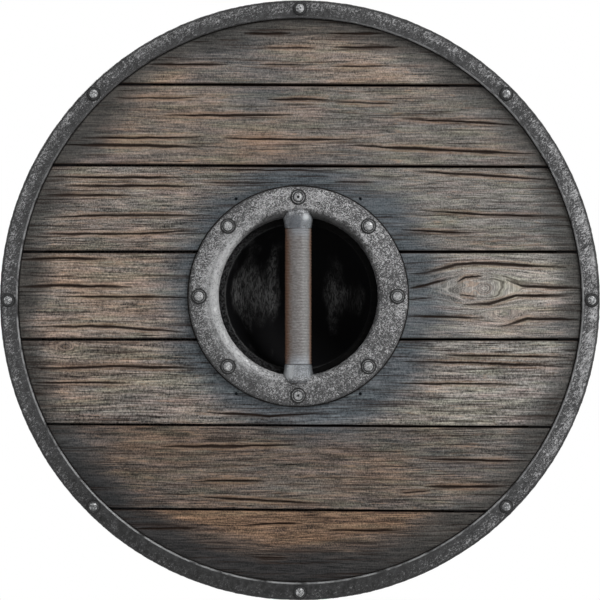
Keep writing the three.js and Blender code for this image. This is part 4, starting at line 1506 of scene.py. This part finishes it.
    def pins(self, level: int) -> Piece:
        """The cutter for two of the small blind holes beside the ring, above (1) or below (-1) the grip."""
        radius = self.layout.ring_radius + self.pin_offset
        face = self.layout.hand_plank.low.y
        cutters = []
        for sign in (-1, 1):
            x = sign * radius * math.cos(self.pin_angle)
            z = level * radius * math.sin(self.pin_angle)
            deep = Vector((0, self.pin_depth, 0))
            mouth = Vector((x, face, z))
            cutters.append(rod(self.pin_radius, mouth - deep, mouth + deep))
        return joined(cutters)


@dataclass(frozen=True)
class Carving:
    """The relief of a weathered plank, in millimetres: grain, fissures, cracks and worn edges."""

    courses: Sequence[tuple[Numbers, CrackSize]]
    knots: tuple[Knot, ...]
    seed: int
    fissure_area: float
    grain_depth: float = 0.45
    seam_round: float = 2.2
    seam_drop: float = 1.4
    tight_below: float = -110.0
    tightness: float = 0.6

    def flowed(self, x: Numbers, z: Numbers) -> Numbers:
        """The height that each place's grain line has away from the knots."""
        wave = SmoothNoise(self.seed + 1).at(x / 85, z / 34) - 0.5
        height = z + 2.4 * wave
        for knot in self.knots:
            up = z - knot.z
            reach = ((x - knot.x) / knot.stretch) ** 2 + up**2
            outside = -up * knot.radius**2 / np.maximum(reach, knot.radius**2)
            inside = 0.8 * (knot.radius - np.sqrt(reach)) - up
            shift = np.where(reach > knot.radius**2, outside, inside)
            wobble = SmoothNoise(self.seed + 8).at(x / (0.8 * knot.radius), z / (0.4 * knot.radius)) - 0.5
            shift += 0.35 * knot.radius * wobble * np.exp(-reach / (1.5 * knot.radius) ** 2)
            height += shift * np.exp(-reach / (4.5 * knot.radius) ** 2)
        return height

    def cut(self, x: Numbers, z: Numbers, above_lower: Numbers,
            below_upper: Numbers) -> tuple[Numbers, Numbers, Numbers, Numbers]:
        """Works out the whole relief.

        Args:
            x: Places across the disc.
            z: Their heights.
            above_lower: How far each is above the plank's lower edge.
            below_upper: How far each is below its upper edge.

        Returns:
            The depth, the grain's own relief, the darkness of cracks and the painted highlight along their
            lips.
        """
        grain = self.flowed(x, z)
        fine = SmoothNoise(self.seed + 2).at(x / 17, grain / 1.25)
        middle = SmoothNoise(self.seed + 3).at(x / 40, grain / 2.7)
        broad = SmoothNoise(self.seed + 4).at(x / 80, grain / 11)
        relief = np.clip(1.75 * (0.46 * fine + 0.34 * middle + 0.2 * broad - 0.5) + 0.5, 0, 1)
        depth = self.grain_depth * (1 - relief) ** 1.3
        crack = np.zeros_like(x)
        halo = np.zeros_like(x)
        depth, crack = self.fissured(x, grain, depth, crack)
        for points, size in self.courses:
            self.open_crack(points, size, x, z, depth, crack, halo)
        depth, crack = self.worn_edges(x, z, above_lower, below_upper, depth, crack)
        return depth, relief, np.clip(crack, 0, 1), halo * (1 - np.clip(crack, 0, 1))

    def fissured(self, x: Numbers, grain: Numbers, depth: Numbers,
                 crack: Numbers) -> tuple[Numbers, Numbers]:
        """Adds short thin splits along the grain, at seeded places."""
        random = np.random.default_rng(self.seed + 5)
        for _ in range(int(np.ptp(x) * np.ptp(grain) / self.fissure_area)):
            middle = random.uniform(x.min(), x.max())
            height = random.uniform(grain.min(), grain.max())
            half_length = random.uniform(8, 26) * random.uniform(1, 2.4)
            half_width = random.uniform(0.35, 0.62)
            deep = random.uniform(0.35, 1.0)
            slope = random.normal(0, 0.008)
            near = (np.abs(x - middle) < half_length) & (np.abs(grain - height) < 3)
            along = (x[near] - middle) / half_length
            off = np.abs(grain[near] - height - slope * (x[near] - middle))
            inside = between(1.5, 0.5, off / half_width) * (1 - along**2)
            depth[near] = np.maximum(depth[near], self.grain_depth * 0.5 + deep * inside)
            crack[near] = np.maximum(crack[near], 0.25 * inside + 0.55 * deep * inside)
        return depth, crack

    def open_crack(self, points: Numbers, size: CrackSize, x: Numbers, z: Numbers, depth: Numbers,
                   crack: Numbers, halo: Numbers) -> None:
        """Opens one crack in the depth, crack and halo values.

        Args:
            points: The crack's course.
            size: Its size.
            x: Places across the disc.
            z: Their heights.
            depth: Depths to deepen.
            crack: Darkness to add to.
            halo: The painted highlight along the crack's lips, to add to.
        """
        half_width, deepest = size.value
        margin = 3 * half_width + 3
        near = ((x > points[:, 0].min() - margin) & (x < points[:, 0].max() + margin)
                & (z > points[:, 1].min() - margin) & (z < points[:, 1].max() + margin))
        if not near.any():
            return
        px = x[near]
        jitter = SmoothNoise(self.seed + 6)
        pz = z[near] + 0.9 * (jitter.at(px / 15, px * 0 + points[0, 1]) - 0.5)
        lengths = np.hypot(*np.diff(points, axis=0).T)
        best = np.full_like(px, np.inf)
        travelled = np.zeros_like(px)
        for index, length in enumerate(lengths):
            start = points[index]
            step = points[index + 1] - start
            along = np.clip(((px - start[0]) * step[0] + (pz - start[1]) * step[1]) / length**2, 0, 1)
            off = np.hypot(px - start[0] - along * step[0], pz - start[1] - along * step[1])
            nearer = off < best
            best = np.where(nearer, off, best)
            travelled = np.where(nearer, lengths[:index].sum() + along * length, travelled)
        share = travelled / lengths.sum()
        taper = np.clip(np.minimum(share, 1 - share) / 0.25, 0, 1) ** 0.7
        uneven = 0.6 + 0.65 * jitter.at(px / 17, px * 0 + points[0, 1] + 9)
        width = half_width * (0.25 + 0.75 * taper) * uneven
        inside = between(1.4, 0.55, best / width) * np.sqrt(taper)
        # A painted highlight along the crack's lips.
        lip = np.exp(-(((best - width - 1.2) / 1.1) ** 2)) * taper
        depth[near] = np.maximum(depth[near], depth[near] * 0.5 + deepest * inside)
        crack[near] = np.maximum(crack[near], between(1.45, 0.6, best / width) * np.sqrt(taper))
        halo[near] = np.maximum(halo[near], lip)

    def worn_edges(self, x: Numbers, z: Numbers, above_lower: Numbers, below_upper: Numbers,
                   depth: Numbers, crack: Numbers) -> tuple[Numbers, Numbers]:
        """Rounds the plank's long edges unevenly and darkens them towards the seam."""
        uneven = SmoothNoise(self.seed + 7)
        open_share = np.where(z < self.tight_below, self.tightness, 1.0)
        for index, distance in enumerate((above_lower, below_upper)):
            ragged = (0.55 + 0.9 * uneven.at(x / 9 + 40 * index, z / 30)) * open_share
            inward = distance / (self.seam_round * ragged)
            depth = depth + self.seam_drop * open_share * (1 - np.sqrt(1 - (1 - np.clip(inward, 0, 1)) ** 2))
            crack = np.maximum(crack, between(1.1, 0.25, distance / open_share) * (0.3 + 0.7 * open_share))
        return depth, crack


# Edging, ring, boss and liner


@dataclass
class Edging:
    """The U-shaped edging, hammered all over."""

    layout: Layout
    width: float = 18.5 * MM
    web: float = 3.5 * MM
    rounding: float = 3 * MM
    lip_rounding: float = 2 * MM
    skin_step: float = 1.25 * MM
    turn_step: float = 1.35 * MM
    dents: tuple[Point, ...] = ((5.5 * MM, 0.75 * MM), (1.9 * MM, 0.35 * MM))

    def build(self) -> None:
        """Makes the edging and hands it over."""
        steps = round(FULL_TURN * self.layout.disc_radius / self.turn_step)
        piece = spun(self.outline(), steps, self.layout.disc_centre)
        hammer(piece, *self.dents)
        shade(piece, 60)
        # Painted shade round each rove.
        crease_shade = (self.layout.rim_rove + 0.5 * MM, 1.0 * MM)
        circle = FastenerCircle(self.layout.rim_circle, self.layout.disc_centre, (crease_shade,))
        finish = EdgingIron("edging finish", base=tone(60, 60, 61), flecks=tone(152, 152, 153), amount=0.3,
                            scale=430, crease=0.5, fasteners=circle, layout=self.layout)
        hand_over(piece, "rim_edging", finish.material())

    @property
    def lip(self) -> float:
        """The radius of the cheeks' inner edge."""
        return self.layout.disc_radius - self.width

    def outline(self) -> list[Point]:
        """The channel's section: the skin in short steps, the hidden inside in long ones."""
        low = self.layout.edging.low.y
        high = self.layout.edging.high.y
        radius = self.layout.disc_radius
        corner = radius - self.rounding
        lip = self.lip
        soft = self.lip_rounding
        inside_low = self.layout.hand_plank.low.y - self.layout.gap
        inside_high = self.layout.front_plank.high.y + self.layout.gap
        web = radius - self.web
        turn = self.rounding
        skin = [
            *arc((lip + soft, low + soft), soft, soft, 180, 270, 4),
            *arc((corner, low + turn), turn, turn, 270, 360, 5),
            *arc((corner, high - turn), turn, turn, 0, 90, 5),
            *arc((lip + soft, high - soft), soft, soft, 90, 180, 4),
        ]
        hidden = [(lip, inside_high), (web, inside_high), (web, inside_low), (lip, inside_low)]
        return [*dense(skin, self.skin_step), *hidden]


@dataclass
class HandRing:
    """The ring round the hand opening, its lip rolled over inwards and notched for the grip's collars."""

    layout: Layout
    collar: "Collar"
    opening: float = 79 * MM
    lip_width: float = 8 * MM
    slope: float = 5 * MM
    thickness: float = 5 * MM
    rounding: float = 3 * MM
    skin_step: float = 1.1 * MM
    turn_step: float = 1.1 * MM
    dents: tuple[Point, ...] = ((6 * MM, 0.7 * MM), (2 * MM, 0.35 * MM))

    def build(self) -> None:
        """Makes the ring and hands it over."""
        ring = self.layout.ring
        radius = self.layout.ring_radius
        base = ring.high.y
        face = base - self.thickness
        crest = self.opening + self.lip_width
        skin = [
            *arc((crest, base), self.lip_width, base - ring.low.y, 180, 270, 12),
            *((crest + self.slope * share, face - (face - ring.low.y) * (1 + math.cos(math.pi * share)) / 2)
              for share in (0.2, 0.4, 0.6, 0.8, 1)),
            *arc((radius - self.rounding, face + self.rounding), self.rounding, self.rounding, 270, 360, 5),
            (radius, base),
        ]
        piece = spun(dense(skin, self.skin_step), round(FULL_TURN * radius / self.turn_step))
        for side in (1, -1):
            carve(piece, self.collar.blank(side, self.layout.gap / 3))
        hammer(piece, *self.dents)
        shade(piece, 60)
        # Painted shade round each rove.
        crease_shade = (self.layout.ring_rove + 0.5 * MM, 1.0 * MM)
        circle = FastenerCircle(self.layout.ring_circle, Vector(), (crease_shade,))
        finish = RingIron("ring finish", base=tone(66, 66, 67), flecks=tone(166, 166, 167), amount=0.7,
                          scale=430, fasteners=circle)
        hand_over(piece, "hand_ring", finish.material())


@dataclass
class Boss:
    """The hollow boss on the front, with its flange, and the black liner inside it."""

    layout: Layout
    wall: float = 6 * MM
    flange: float = 5 * MM
    fillet: float = 4 * MM
    rounding: float = 3 * MM
    liner_wall: float = 6 * MM
    skin_step: float = 1.5 * MM
    turn_step: float = 1.5 * MM
    beaten: Point = (11 * MM, 0.9 * MM)
    pitted: Point = (2.5 * MM, 0.3 * MM)
    liner_step: float = 2 * MM
    liner_edge: float = 1 * MM
    liner_turn_steps: int = 240

    def build(self) -> None:
        """Makes the boss and the liner and hands them over."""
        self.dome()
        self.liner()

    def dome(self) -> None:
        """Makes the boss."""
        box = self.layout.dome
        radius = box.size.x / 2
        base = box.low.y
        height = box.size.y
        flange_face = base + self.flange
        reach = self.layout.hole_radius + self.wall
        foot = math.degrees(math.asin((self.flange + self.fillet / 2) / height))
        skin = [
            *arc((0, base), reach, height, 90, foot, 64),
            (reach + self.fillet / 2, flange_face),
            *arc((radius - self.rounding, flange_face - self.rounding), self.rounding, self.rounding,
                 90, 0, 5),
            (radius, base),
        ]
        inside = arc((0, base), self.layout.hole_radius, height - self.wall, 0, 90, 24)
        piece = spun([*dense(skin, self.skin_step), *inside], round(FULL_TURN * radius / self.turn_step))
        hammer(piece, self.beaten, kind="VORONOI")
        hammer(piece, self.pitted)
        shade(piece, 50)
        # Painted shade round each rove.
        crease_shade = (self.layout.ring_rove + 0.4 * MM, 1.0 * MM)
        circle = FastenerCircle(self.layout.ring_circle, Vector(), (crease_shade,))
        finish = BrushedIron("boss finish", base=tone(60, 61, 62), flecks=tone(156, 157, 158), amount=0.6,
                             scale=340, fasteners=circle)
        hand_over(piece, "boss_dome", finish.material())

    def liner(self) -> None:
        """Makes the liner, a cup whose open edge shows just inside the ring."""
        box = self.layout.liner
        base = self.layout.dome.low.y
        outer = box.size.x / 2
        bore = outer - self.liner_wall
        edge = self.liner_edge
        depth = box.high.y - base
        rim = box.low.y
        skin = [
            *arc((0, base), bore, depth - self.liner_wall, 90, 0, 40),
            *arc((bore + edge, rim + edge), edge, edge, 180, 270, 3),
            (outer, rim),
        ]
        outside = arc((0, base), outer, depth, 0, 90, 24)
        piece = spun([*dense(skin, self.liner_step), *outside], self.liner_turn_steps)
        shade(piece, 50)
        hand_over(piece, "boss_liner", BlackWithHighlights("liner finish", bore).material())


# Grip


@dataclass(frozen=True)
class Collar:
    """One flared collar of the grip; its outline is in shares of its length and its flare."""

    end: float = 87 * MM
    length: float = 18.7 * MM
    close_up: float = 0.2 * MM
    flare: float = 2 * MM
    sleeve_radius: float = 13.5 * MM
    along_shares: tuple[float, ...] = (0, 0.15, 0.3, 0.46, 0.62, 0.74, 0.85, 0.94, 1)
    out_shares: tuple[float, ...] = (0.05, 0.2, 0.4, 0.76, 1, 0.98, 0.8, 0.2, -0.6)
    turn_steps: int = 72

    def blank(self, side: int, grow: float = 0.0) -> Piece:
        """The collar before it is fitted; side is 1 above the grip's middle and -1 below it."""
        start = self.end - self.length - self.close_up
        outline = [(0.0, start)]
        for along, out in zip(self.along_shares, self.out_shares):
            extra = grow if along == 1 else 0.0
            radius = self.sleeve_radius + out * self.flare + grow
            outline.append((radius, start + along * self.length + extra))
        outline.append((0.0, self.end + grow))
        placed = [(radius, side * height) for radius, height in outline]
        return spun(placed, self.turn_steps, spindle=Spindle.HEIGHT)


@dataclass
class Grip:
    """The ribbed sleeve and its two collars."""

    layout: Layout
    collar: Collar
    bar_radius: float = 9 * MM
    rib_pitch: float = 2.9 * MM
    rib_depth: float = 0.6 * MM
    tab_width: float = 16 * MM
    bore_depth: float = 72 * MM
    bore_sides: int = 48
    rib_steps: int = 7
    turn_steps: int = 72
    seat_steps: int = 96
    sleeve_dents: Point = (3 * MM, 0.25 * MM)
    collar_dents: Point = (2.2 * MM, 0.3 * MM)

    def build(self) -> None:
        """Makes the sleeve and the collars and hands them over."""
        self.sleeve()
        finish = CollarIron("collar finish", base=tone(84, 85, 87), flecks=tone(168, 170, 173), amount=0.75,
                            scale=430, rough=0.42, metal=0.2, crease=0.5).material()
        for side, name in ((1, "top"), (-1, "bottom")):
            hand_over(self.fitted(side), f"grip_collar_{name}", finish)

    def sleeve(self) -> None:
        """Makes the sleeve, one rounded rib after another."""
        box = Envelope.of("grip_sleeve")
        length = box.size.z
        radius = box.size.x / 2
        ribs = math.floor(length / self.rib_pitch)
        pitch = length / ribs
        bore = self.bar_radius + self.layout.gap
        outline = [(radius - self.rib_depth * (1 - abs(math.sin(math.pi * turn))), box.low.z + pitch * turn)
                   for turn in np.linspace(0, ribs, self.rib_steps * ribs + 1)]
        outline += [(bore, box.high.z), (bore, box.low.z)]
        piece = spun(outline, self.turn_steps, spindle=Spindle.HEIGHT)
        hammer(piece, self.sleeve_dents)
        shade(piece, 80)
        finish = RibbedLeather("sleeve finish", pitch, radius, length / 2)
        hand_over(piece, "grip_sleeve", finish.material())

    def fitted(self, side: int) -> Piece:
        """Cuts a collar to its seat between the ring, the planks and the liner, and bores it for the bar."""
        piece = self.collar.blank(side)
        gap = self.layout.gap
        hole = self.layout.hole_radius - gap
        bore = self.layout.liner.size.x / 2 - Boss.liner_wall - gap
        plank_back = self.layout.hand_plank.high.y
        ring_base = self.layout.ring.high.y
        far = self.layout.ring_radius
        seat = [(bore, plank_back), (hole, plank_back), (hole, ring_base), (far, ring_base), (far, far),
                (bore, far)]
        carve(piece, spun(seat, self.seat_steps))
        reach = Vector((0, 0, side * far))
        end = reach * (self.bore_depth / far)
        carve(piece, rod(self.bar_radius + gap, Vector(), end, self.bore_sides))
        deselect_all()
        bpy.ops.mesh.primitive_cube_add(size=1)
        slot = bpy.context.object
        thick = self.layout.hand_plank.size.y
        slot.data.transform(Matrix.Diagonal((self.tab_width + 2 * gap, thick, far, 1)))
        slot.data.transform(Matrix.Translation(reach / 2))
        carve(piece, slot)
        hammer(piece, self.collar_dents)
        shade(piece, 50)
        return piece


# Fasteners


class FastenerPaint(Enum):
    """How a fastener is painted: brushed pale, worn duller as on the rim's heads, or left dark as a rove."""

    PALE = {"base": tone(112, 113, 114), "flecks": tone(184, 185, 186), "amount": 0.9, "scale": 560,
            "rough": 0.42, "metal": 0.2, "relief": 0.3 * MM}
    WORN = {"base": tone(92, 93, 94), "flecks": tone(190, 191, 192), "amount": 0.74, "scale": 420,
            "rough": 0.46, "metal": 0.2, "relief": 0.4 * MM, "crease": 1.0}
    DARK = {"base": tone(84, 84, 85), "flecks": tone(146, 147, 148), "amount": 0.75, "scale": 560,
            "rough": 0.48, "metal": 0.15, "relief": 0.25 * MM}

    def material(self, name: str, circle: FastenerCircle | None = None) -> Material:
        """Builds the paint, with painted shade along the circle's creases."""
        return BrushedIron(name, fasteners=circle, **self.value).material()


@dataclass
class Fasteners:
    """Rivets, roves, screws and nuts: the rivets and roves of each circle are modelled once and copied."""

    layout: Layout
    shank: float = 2 * MM
    rim_head: float = 4.4 * MM
    boss_head: float = 4.7 * MM
    screw_shank: float = 2.5 * MM
    screw_flange: float = 1.2 * MM
    socket: float = 1.7 * MM
    socket_depth: float = 2 * MM
    chamfer: float = 0.4 * MM
    nut_hex: float = 3.5 * MM
    nut_bevel: float = 0.25 * MM
    cap_inset: float = 0.5 * MM
    cap_inside: float = 0.3 * MM
    turn_steps: int = 36
    turn_seed: int = 41
    rivet_dents: Point = (1.6 * MM, 0.35 * MM)
    screw_dents: Point = (1.8 * MM, 0.2 * MM)

    def build(self) -> None:
        """Makes every fastener and hands it over."""
        rove = self.layout.ring_rove
        rim = FastenerCircle(self.layout.rim_circle, self.layout.disc_centre, ())
        ring = FastenerCircle(self.layout.ring_circle, Vector(), ())
        grip_ends = ("top", "bottom")
        self.riveted("rim", FASTENERS_ROUND, self.rim_head, self.layout.rim_rove, rim)
        # The grip's screws take the ring's other places.
        self.riveted("boss", FASTENERS_ROUND - len(grip_ends), self.boss_head, rove, ring)
        # Painted shade in the screw's socket, round its head and round its flange.
        creases = ((0.0, 1.8 * MM), (self.boss_head + 0.2 * MM, 1.0 * MM), (rove, 0.9 * MM))
        screw_finish = FastenerPaint.PALE.material("screw finish", replace(ring, creases=creases))
        nut_finish = FastenerPaint.PALE.material("nut finish")
        for end in grip_ends:
            self.screw(end, screw_finish)
            self.nut(end, nut_finish)

    def riveted(self, family: str, count: int, head: float, rove: float, circle: FastenerCircle) -> None:
        """Makes one circle's rivets and roves.

        Args:
            family: The nodes' first word.
            count: How many there are.
            head: The hand side's head radius.
            rove: The rove's radius, which the front's head shares.
            circle: The circle that they sit on.
        """
        # Painted shade round the head, and round the head and the rove's edge.
        on_head = replace(circle, creases=((head + 0.4 * MM, 0.8 * MM),))
        on_rove = replace(circle, creases=((head + 0.2 * MM, 1.05 * MM), (rove, 0.75 * MM)))
        paint = FastenerPaint.WORN if family == "rim" else FastenerPaint.PALE
        rivet_finish = paint.material(f"{family} rivet finish", on_head)
        rove_finish = FastenerPaint.DARK.material(f"{family} rove finish", on_rove)
        box = Envelope.of(f"{family}_rivet_1")
        seat = Envelope.of(f"{family}_rove_1")
        first = Vector((box.middle.x, 0, box.middle.z))
        gap = self.layout.gap
        under = seat.low.y - gap
        dome = under - box.low.y
        front = self.layout.edging.high.y if family == "rim" else self.layout.dome.low.y + Boss.flange
        shape = [
            *arc((0, under), head, -dome, 90, 0, 10),
            (self.shank, under),
            (self.shank, front + gap),
            *arc((0, front + gap), rove, box.high.y - front - gap, 0, 90, 8),
        ]
        rivet = spun(shape, self.turn_steps, first)
        hammer(rivet, self.rivet_dents)
        washer = spun([
            (self.shank + gap, seat.high.y), (rove, seat.high.y),
            *arc((rove - self.chamfer, seat.low.y + self.chamfer), self.chamfer, -self.chamfer, 0, 90, 3),
            (self.shank + gap, seat.low.y),
        ], self.turn_steps, first)
        random = np.random.default_rng(self.turn_seed)
        for index in range(count):
            turn = Matrix.Rotation(random.uniform(0, FULL_TURN), 4, "Y")
            for pattern, kind, finish in ((rivet, "rivet", rivet_finish), (washer, "rove", rove_finish)):
                node = f"{family}_{kind}_{index + 1}"
                middle = Envelope.of(node).middle
                change = Matrix.Translation((middle.x, 0, middle.z)) @ turn @ Matrix.Translation(-first)
                piece = copied(pattern, change)
                shade(piece, 50)
                hand_over(piece, node, finish)
        for pattern in (rivet, washer):
            bpy.data.objects.remove(pattern)

    def screw(self, end: str, finish: Material) -> None:
        """Makes a flanged button-head screw with a hexagonal socket."""
        box = Envelope.of(f"grip_screw_{end}")
        place = Vector((box.middle.x, 0, box.middle.z))
        seat = self.layout.ring.high.y - HandRing.thickness - self.layout.gap
        head = seat - self.screw_flange
        flange = self.layout.ring_rove
        shape = [
            *arc((0, head), self.boss_head, box.low.y - head, 90, 0, 10),
            *arc((flange - self.chamfer, head + self.chamfer), self.chamfer, -self.chamfer, 90, 0, 3),
            (flange, seat),
            (self.screw_shank, seat),
            (self.screw_shank, box.high.y),
            (0.0, box.high.y),
        ]
        piece = spun(shape, self.turn_steps, place)
        hammer(piece, self.screw_dents)
        top = Vector((place.x, box.low.y, place.z))
        deep = Vector((0, self.socket_depth, 0))
        carve(piece, rod(self.socket, top - deep, top + deep, HEXAGON))
        shade(piece, 40)
        hand_over(piece, f"grip_screw_{end}", finish)

    def nut(self, end: str, finish: Material) -> None:
        """Makes a domed hexagonal nut on the front."""
        box = Envelope.of(f"grip_nut_{end}")
        place = Vector((box.middle.x, 0, box.middle.z))
        seat = box.low.y
        hex_top = seat + self.nut_hex
        radius = box.size.z / 2
        flat = radius * math.cos(math.pi / HEXAGON)
        piece = rod(radius, place + Vector((0, seat, 0)), place + Vector((0, hex_top, 0)), HEXAGON)
        cap = [
            (0.0, seat + self.cap_inset),
            (flat - self.cap_inside, seat + self.cap_inset),
            *arc((0, hex_top), flat - self.cap_inside, box.high.y - hex_top, 0, 90, 8),
        ]
        carve(piece, spun(cap, self.turn_steps, place), "UNION")
        bore_end = Envelope.of(f"grip_screw_{end}").high.y + self.layout.gap
        below = place + Vector((0, seat - 1 * MM, 0))
        carve(piece, rod(self.screw_shank + self.layout.gap, below, place + Vector((0, bore_end, 0))))
        soften = piece.modifiers.new("soften", "BEVEL")
        soften.width = self.nut_bevel
        soften.segments = 2
        soften.limit_method = "ANGLE"
        apply_all(piece)
        shade(piece, 40)
        hand_over(piece, f"grip_nut_{end}", finish)


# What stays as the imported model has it


@dataclass
class InnerPieces:
    """The pieces inside the shield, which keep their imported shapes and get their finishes."""

    def build(self) -> None:
        """Dresses the core board, the padding and the grip's bar."""
        self.dress("core_board", ShadeBlackPly("core finish").material())
        self.dress("edge_padding", CellFoam("padding finish").material())
        self.dress("grip_bar", OiledWood("grip bar finish").material())

    def dress(self, node: str, material: Material) -> None:
        """Gives a node's object its material."""
        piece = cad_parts[node]
        if not piece.material_slots:
            piece.data.materials.append(material)
        for slot in piece.material_slots:
            slot.material = material
        LOG.info("%s keeps its packed shape", node)


# Stage


@dataclass
class Studio:
    """The camera, the lamps, the white surroundings and the floor."""

    centre: Vector
    distance: float = 2.4
    lens: float = 143.88
    aim_x: float = 0.1 * MM
    aim_z: float = 0.3 * MM
    floor_drop: float = 0.25
    floor_size: Point = (5.0, 3.6)
    floor_glow: float = 0.45
    sky: float = 0.4
    key_watts: float = 60.0
    fill_watts: float = 5.0

    def camera(self) -> None:
        """Sets the camera straight in front of the hand side."""
        data = bpy.data.cameras.new("camera")
        data.lens = self.lens
        data.clip_end = 50
        camera = bpy.data.objects.new("camera", data)
        camera.location = self.centre + Vector((self.aim_x, -self.distance, self.aim_z))
        camera.rotation_euler = (math.pi / 2, 0, 0)
        bpy.context.scene.collection.objects.link(camera)
        bpy.context.scene.camera = camera

    def light(self) -> None:
        """Adds a soft key from the upper right, a weak fill from the left, and the surroundings."""
        self.lamp("key", Vector((1.5, -1.35, 1.55)), 0.8, self.key_watts)
        self.lamp("fill", Vector((-1.6, -1.8, -0.3)), 1.8, self.fill_watts)
        self.lamp("back key", Vector((-1.4, 1.7, 1.5)), 1.0, self.key_watts * 0.8)
        self.surroundings()
        bpy.context.scene.view_settings.view_transform = "Standard"

    def lamp(self, name: str, place: Vector, size: float, watts: float) -> None:
        """Adds a square lamp that points at the shield."""
        data = bpy.data.lights.new(name, "AREA")
        data.size = size
        data.energy = watts
        lamp = bpy.data.objects.new(name, data)
        lamp.location = place
        lamp.rotation_euler = (-place).to_track_quat("-Z", "Y").to_euler()
        bpy.context.scene.collection.objects.link(lamp)

    def surroundings(self) -> None:
        """White where the camera or a reflection looks, a soft grey light elsewhere."""
        world = bpy.data.worlds.new("surroundings")
        world.use_nodes = True
        bpy.context.scene.world = world
        sheet = Sheet(world.node_tree)
        background = world.node_tree.nodes["Background"]
        seen = self.looked_at(sheet)
        sheet.feed(background.inputs["Strength"], sheet.total((seen, 1 - self.sky), (1.0, self.sky)))
        background.inputs["Color"].default_value = (1, 1, 1, 1)

    def looked_at(self, sheet: Sheet) -> Socket:
        """1 for what the camera or a reflection sees, 0 for what only lights the shield."""
        rays = sheet.node("ShaderNodeLightPath").outputs
        mirrored = sheet.math("MAXIMUM", rays["Is Glossy Ray"], rays["Is Transmission Ray"])
        return sheet.math("MAXIMUM", rays["Is Camera Ray"], mirrored)

    def floor(self) -> None:
        """Lays a pale floor under the shield, which hangs clear of it."""
        deselect_all()
        bpy.ops.mesh.primitive_plane_add(size=1)
        floor = bpy.context.object
        floor.name = "floor"
        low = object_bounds()[0].z - self.floor_drop
        floor.data.transform(Matrix.Translation((0, 0, low)) @ Matrix.Diagonal((*self.floor_size, 1, 1)))
        material, sheet, skin = new_material("floor finish")
        grain = sheet.noise(sheet.place(), 3.0, detail=2)
        sheet.feed(skin.inputs["Base Color"], sheet.blend(grain, tone(226, 226, 226), tone(232, 232, 231)))
        skin.inputs["Roughness"].default_value = 0.9
        skin.inputs["Emission Color"].default_value = (1, 1, 1, 1)
        sheet.feed(skin.inputs["Emission Strength"], sheet.times(self.looked_at(sheet), self.floor_glow))
        floor.data.materials.append(material)
        floor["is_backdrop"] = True


# How light, warm and contrasty each plank is at its left and right ends, from the top plank down, with the
# two halves of the fourth after each other.
HAND_PAINTS = tuple(PlankPaint(*ends) for ends in (
    ((0.95, 1.05), (0.75, 0.4)),
    ((0.97, 0.71), (0.9, 0.05), (0.88, 0.88)),
    ((0.9, 0.98), (0.55, 0.0), (1.4, 0.95)),
    ((1.14, 1.0), (0.6, 0.3), (1.15, 1.1)),
    ((1.18, 1.4), (0.25, 0.1)),
    ((0.8, 1.34), (0.5, 0.1), (1.5, 1.15)),
    ((0.48, 0.68), (0.9, 0.3), (1.2, 1.2)),
    ((0.56, 0.54), (1.4, 1.2), (1.35, 1.45)),
))
FRONT_PAINTS = tuple(PlankPaint(*ends) for ends in (
    ((0.95, 1.0), (0.7, 0.5)),
    ((1.0, 1.05), (0.4, 0.5)),
    ((1.05, 0.95), (0.3, 0.6)),
    ((1.0, 0.95), (0.5, 0.4)),
    ((0.95, 1.05), (0.4, 0.3)),
    ((1.05, 1.0), (0.3, 0.5)),
    ((0.9, 0.95), (0.6, 0.7)),
    ((0.85, 0.8), (0.8, 0.6)),
))


def main() -> None:
    """Builds the whole shield and its stage."""
    logging.basicConfig(level=logging.INFO, format="%(relativeCreated)6d ms  %(message)s", stream=sys.stdout)
    layout = Layout()
    studio = Studio(layout.disc_centre)
    studio.camera()
    collar = Collar()
    PlankLayer(layout, Side.HAND, "hand_planks", HAND_CRACKS, HAND_KNOTS, HAND_PAINTS, 100).build()
    PlankLayer(layout, Side.FRONT, "front_planks", FrontCracks().by_plank(), FRONT_KNOTS, FRONT_PAINTS, 300,
               step_along=2.0 * MM, step_up=1.0 * MM).build()
    Edging(layout).build()
    HandRing(layout, collar).build()
    Boss(layout).build()
    Grip(layout, collar).build()
    Fasteners(layout).build()
    InnerPieces().build()
    studio.floor()
    studio.light()


if __name__ == "__main__":
    main()
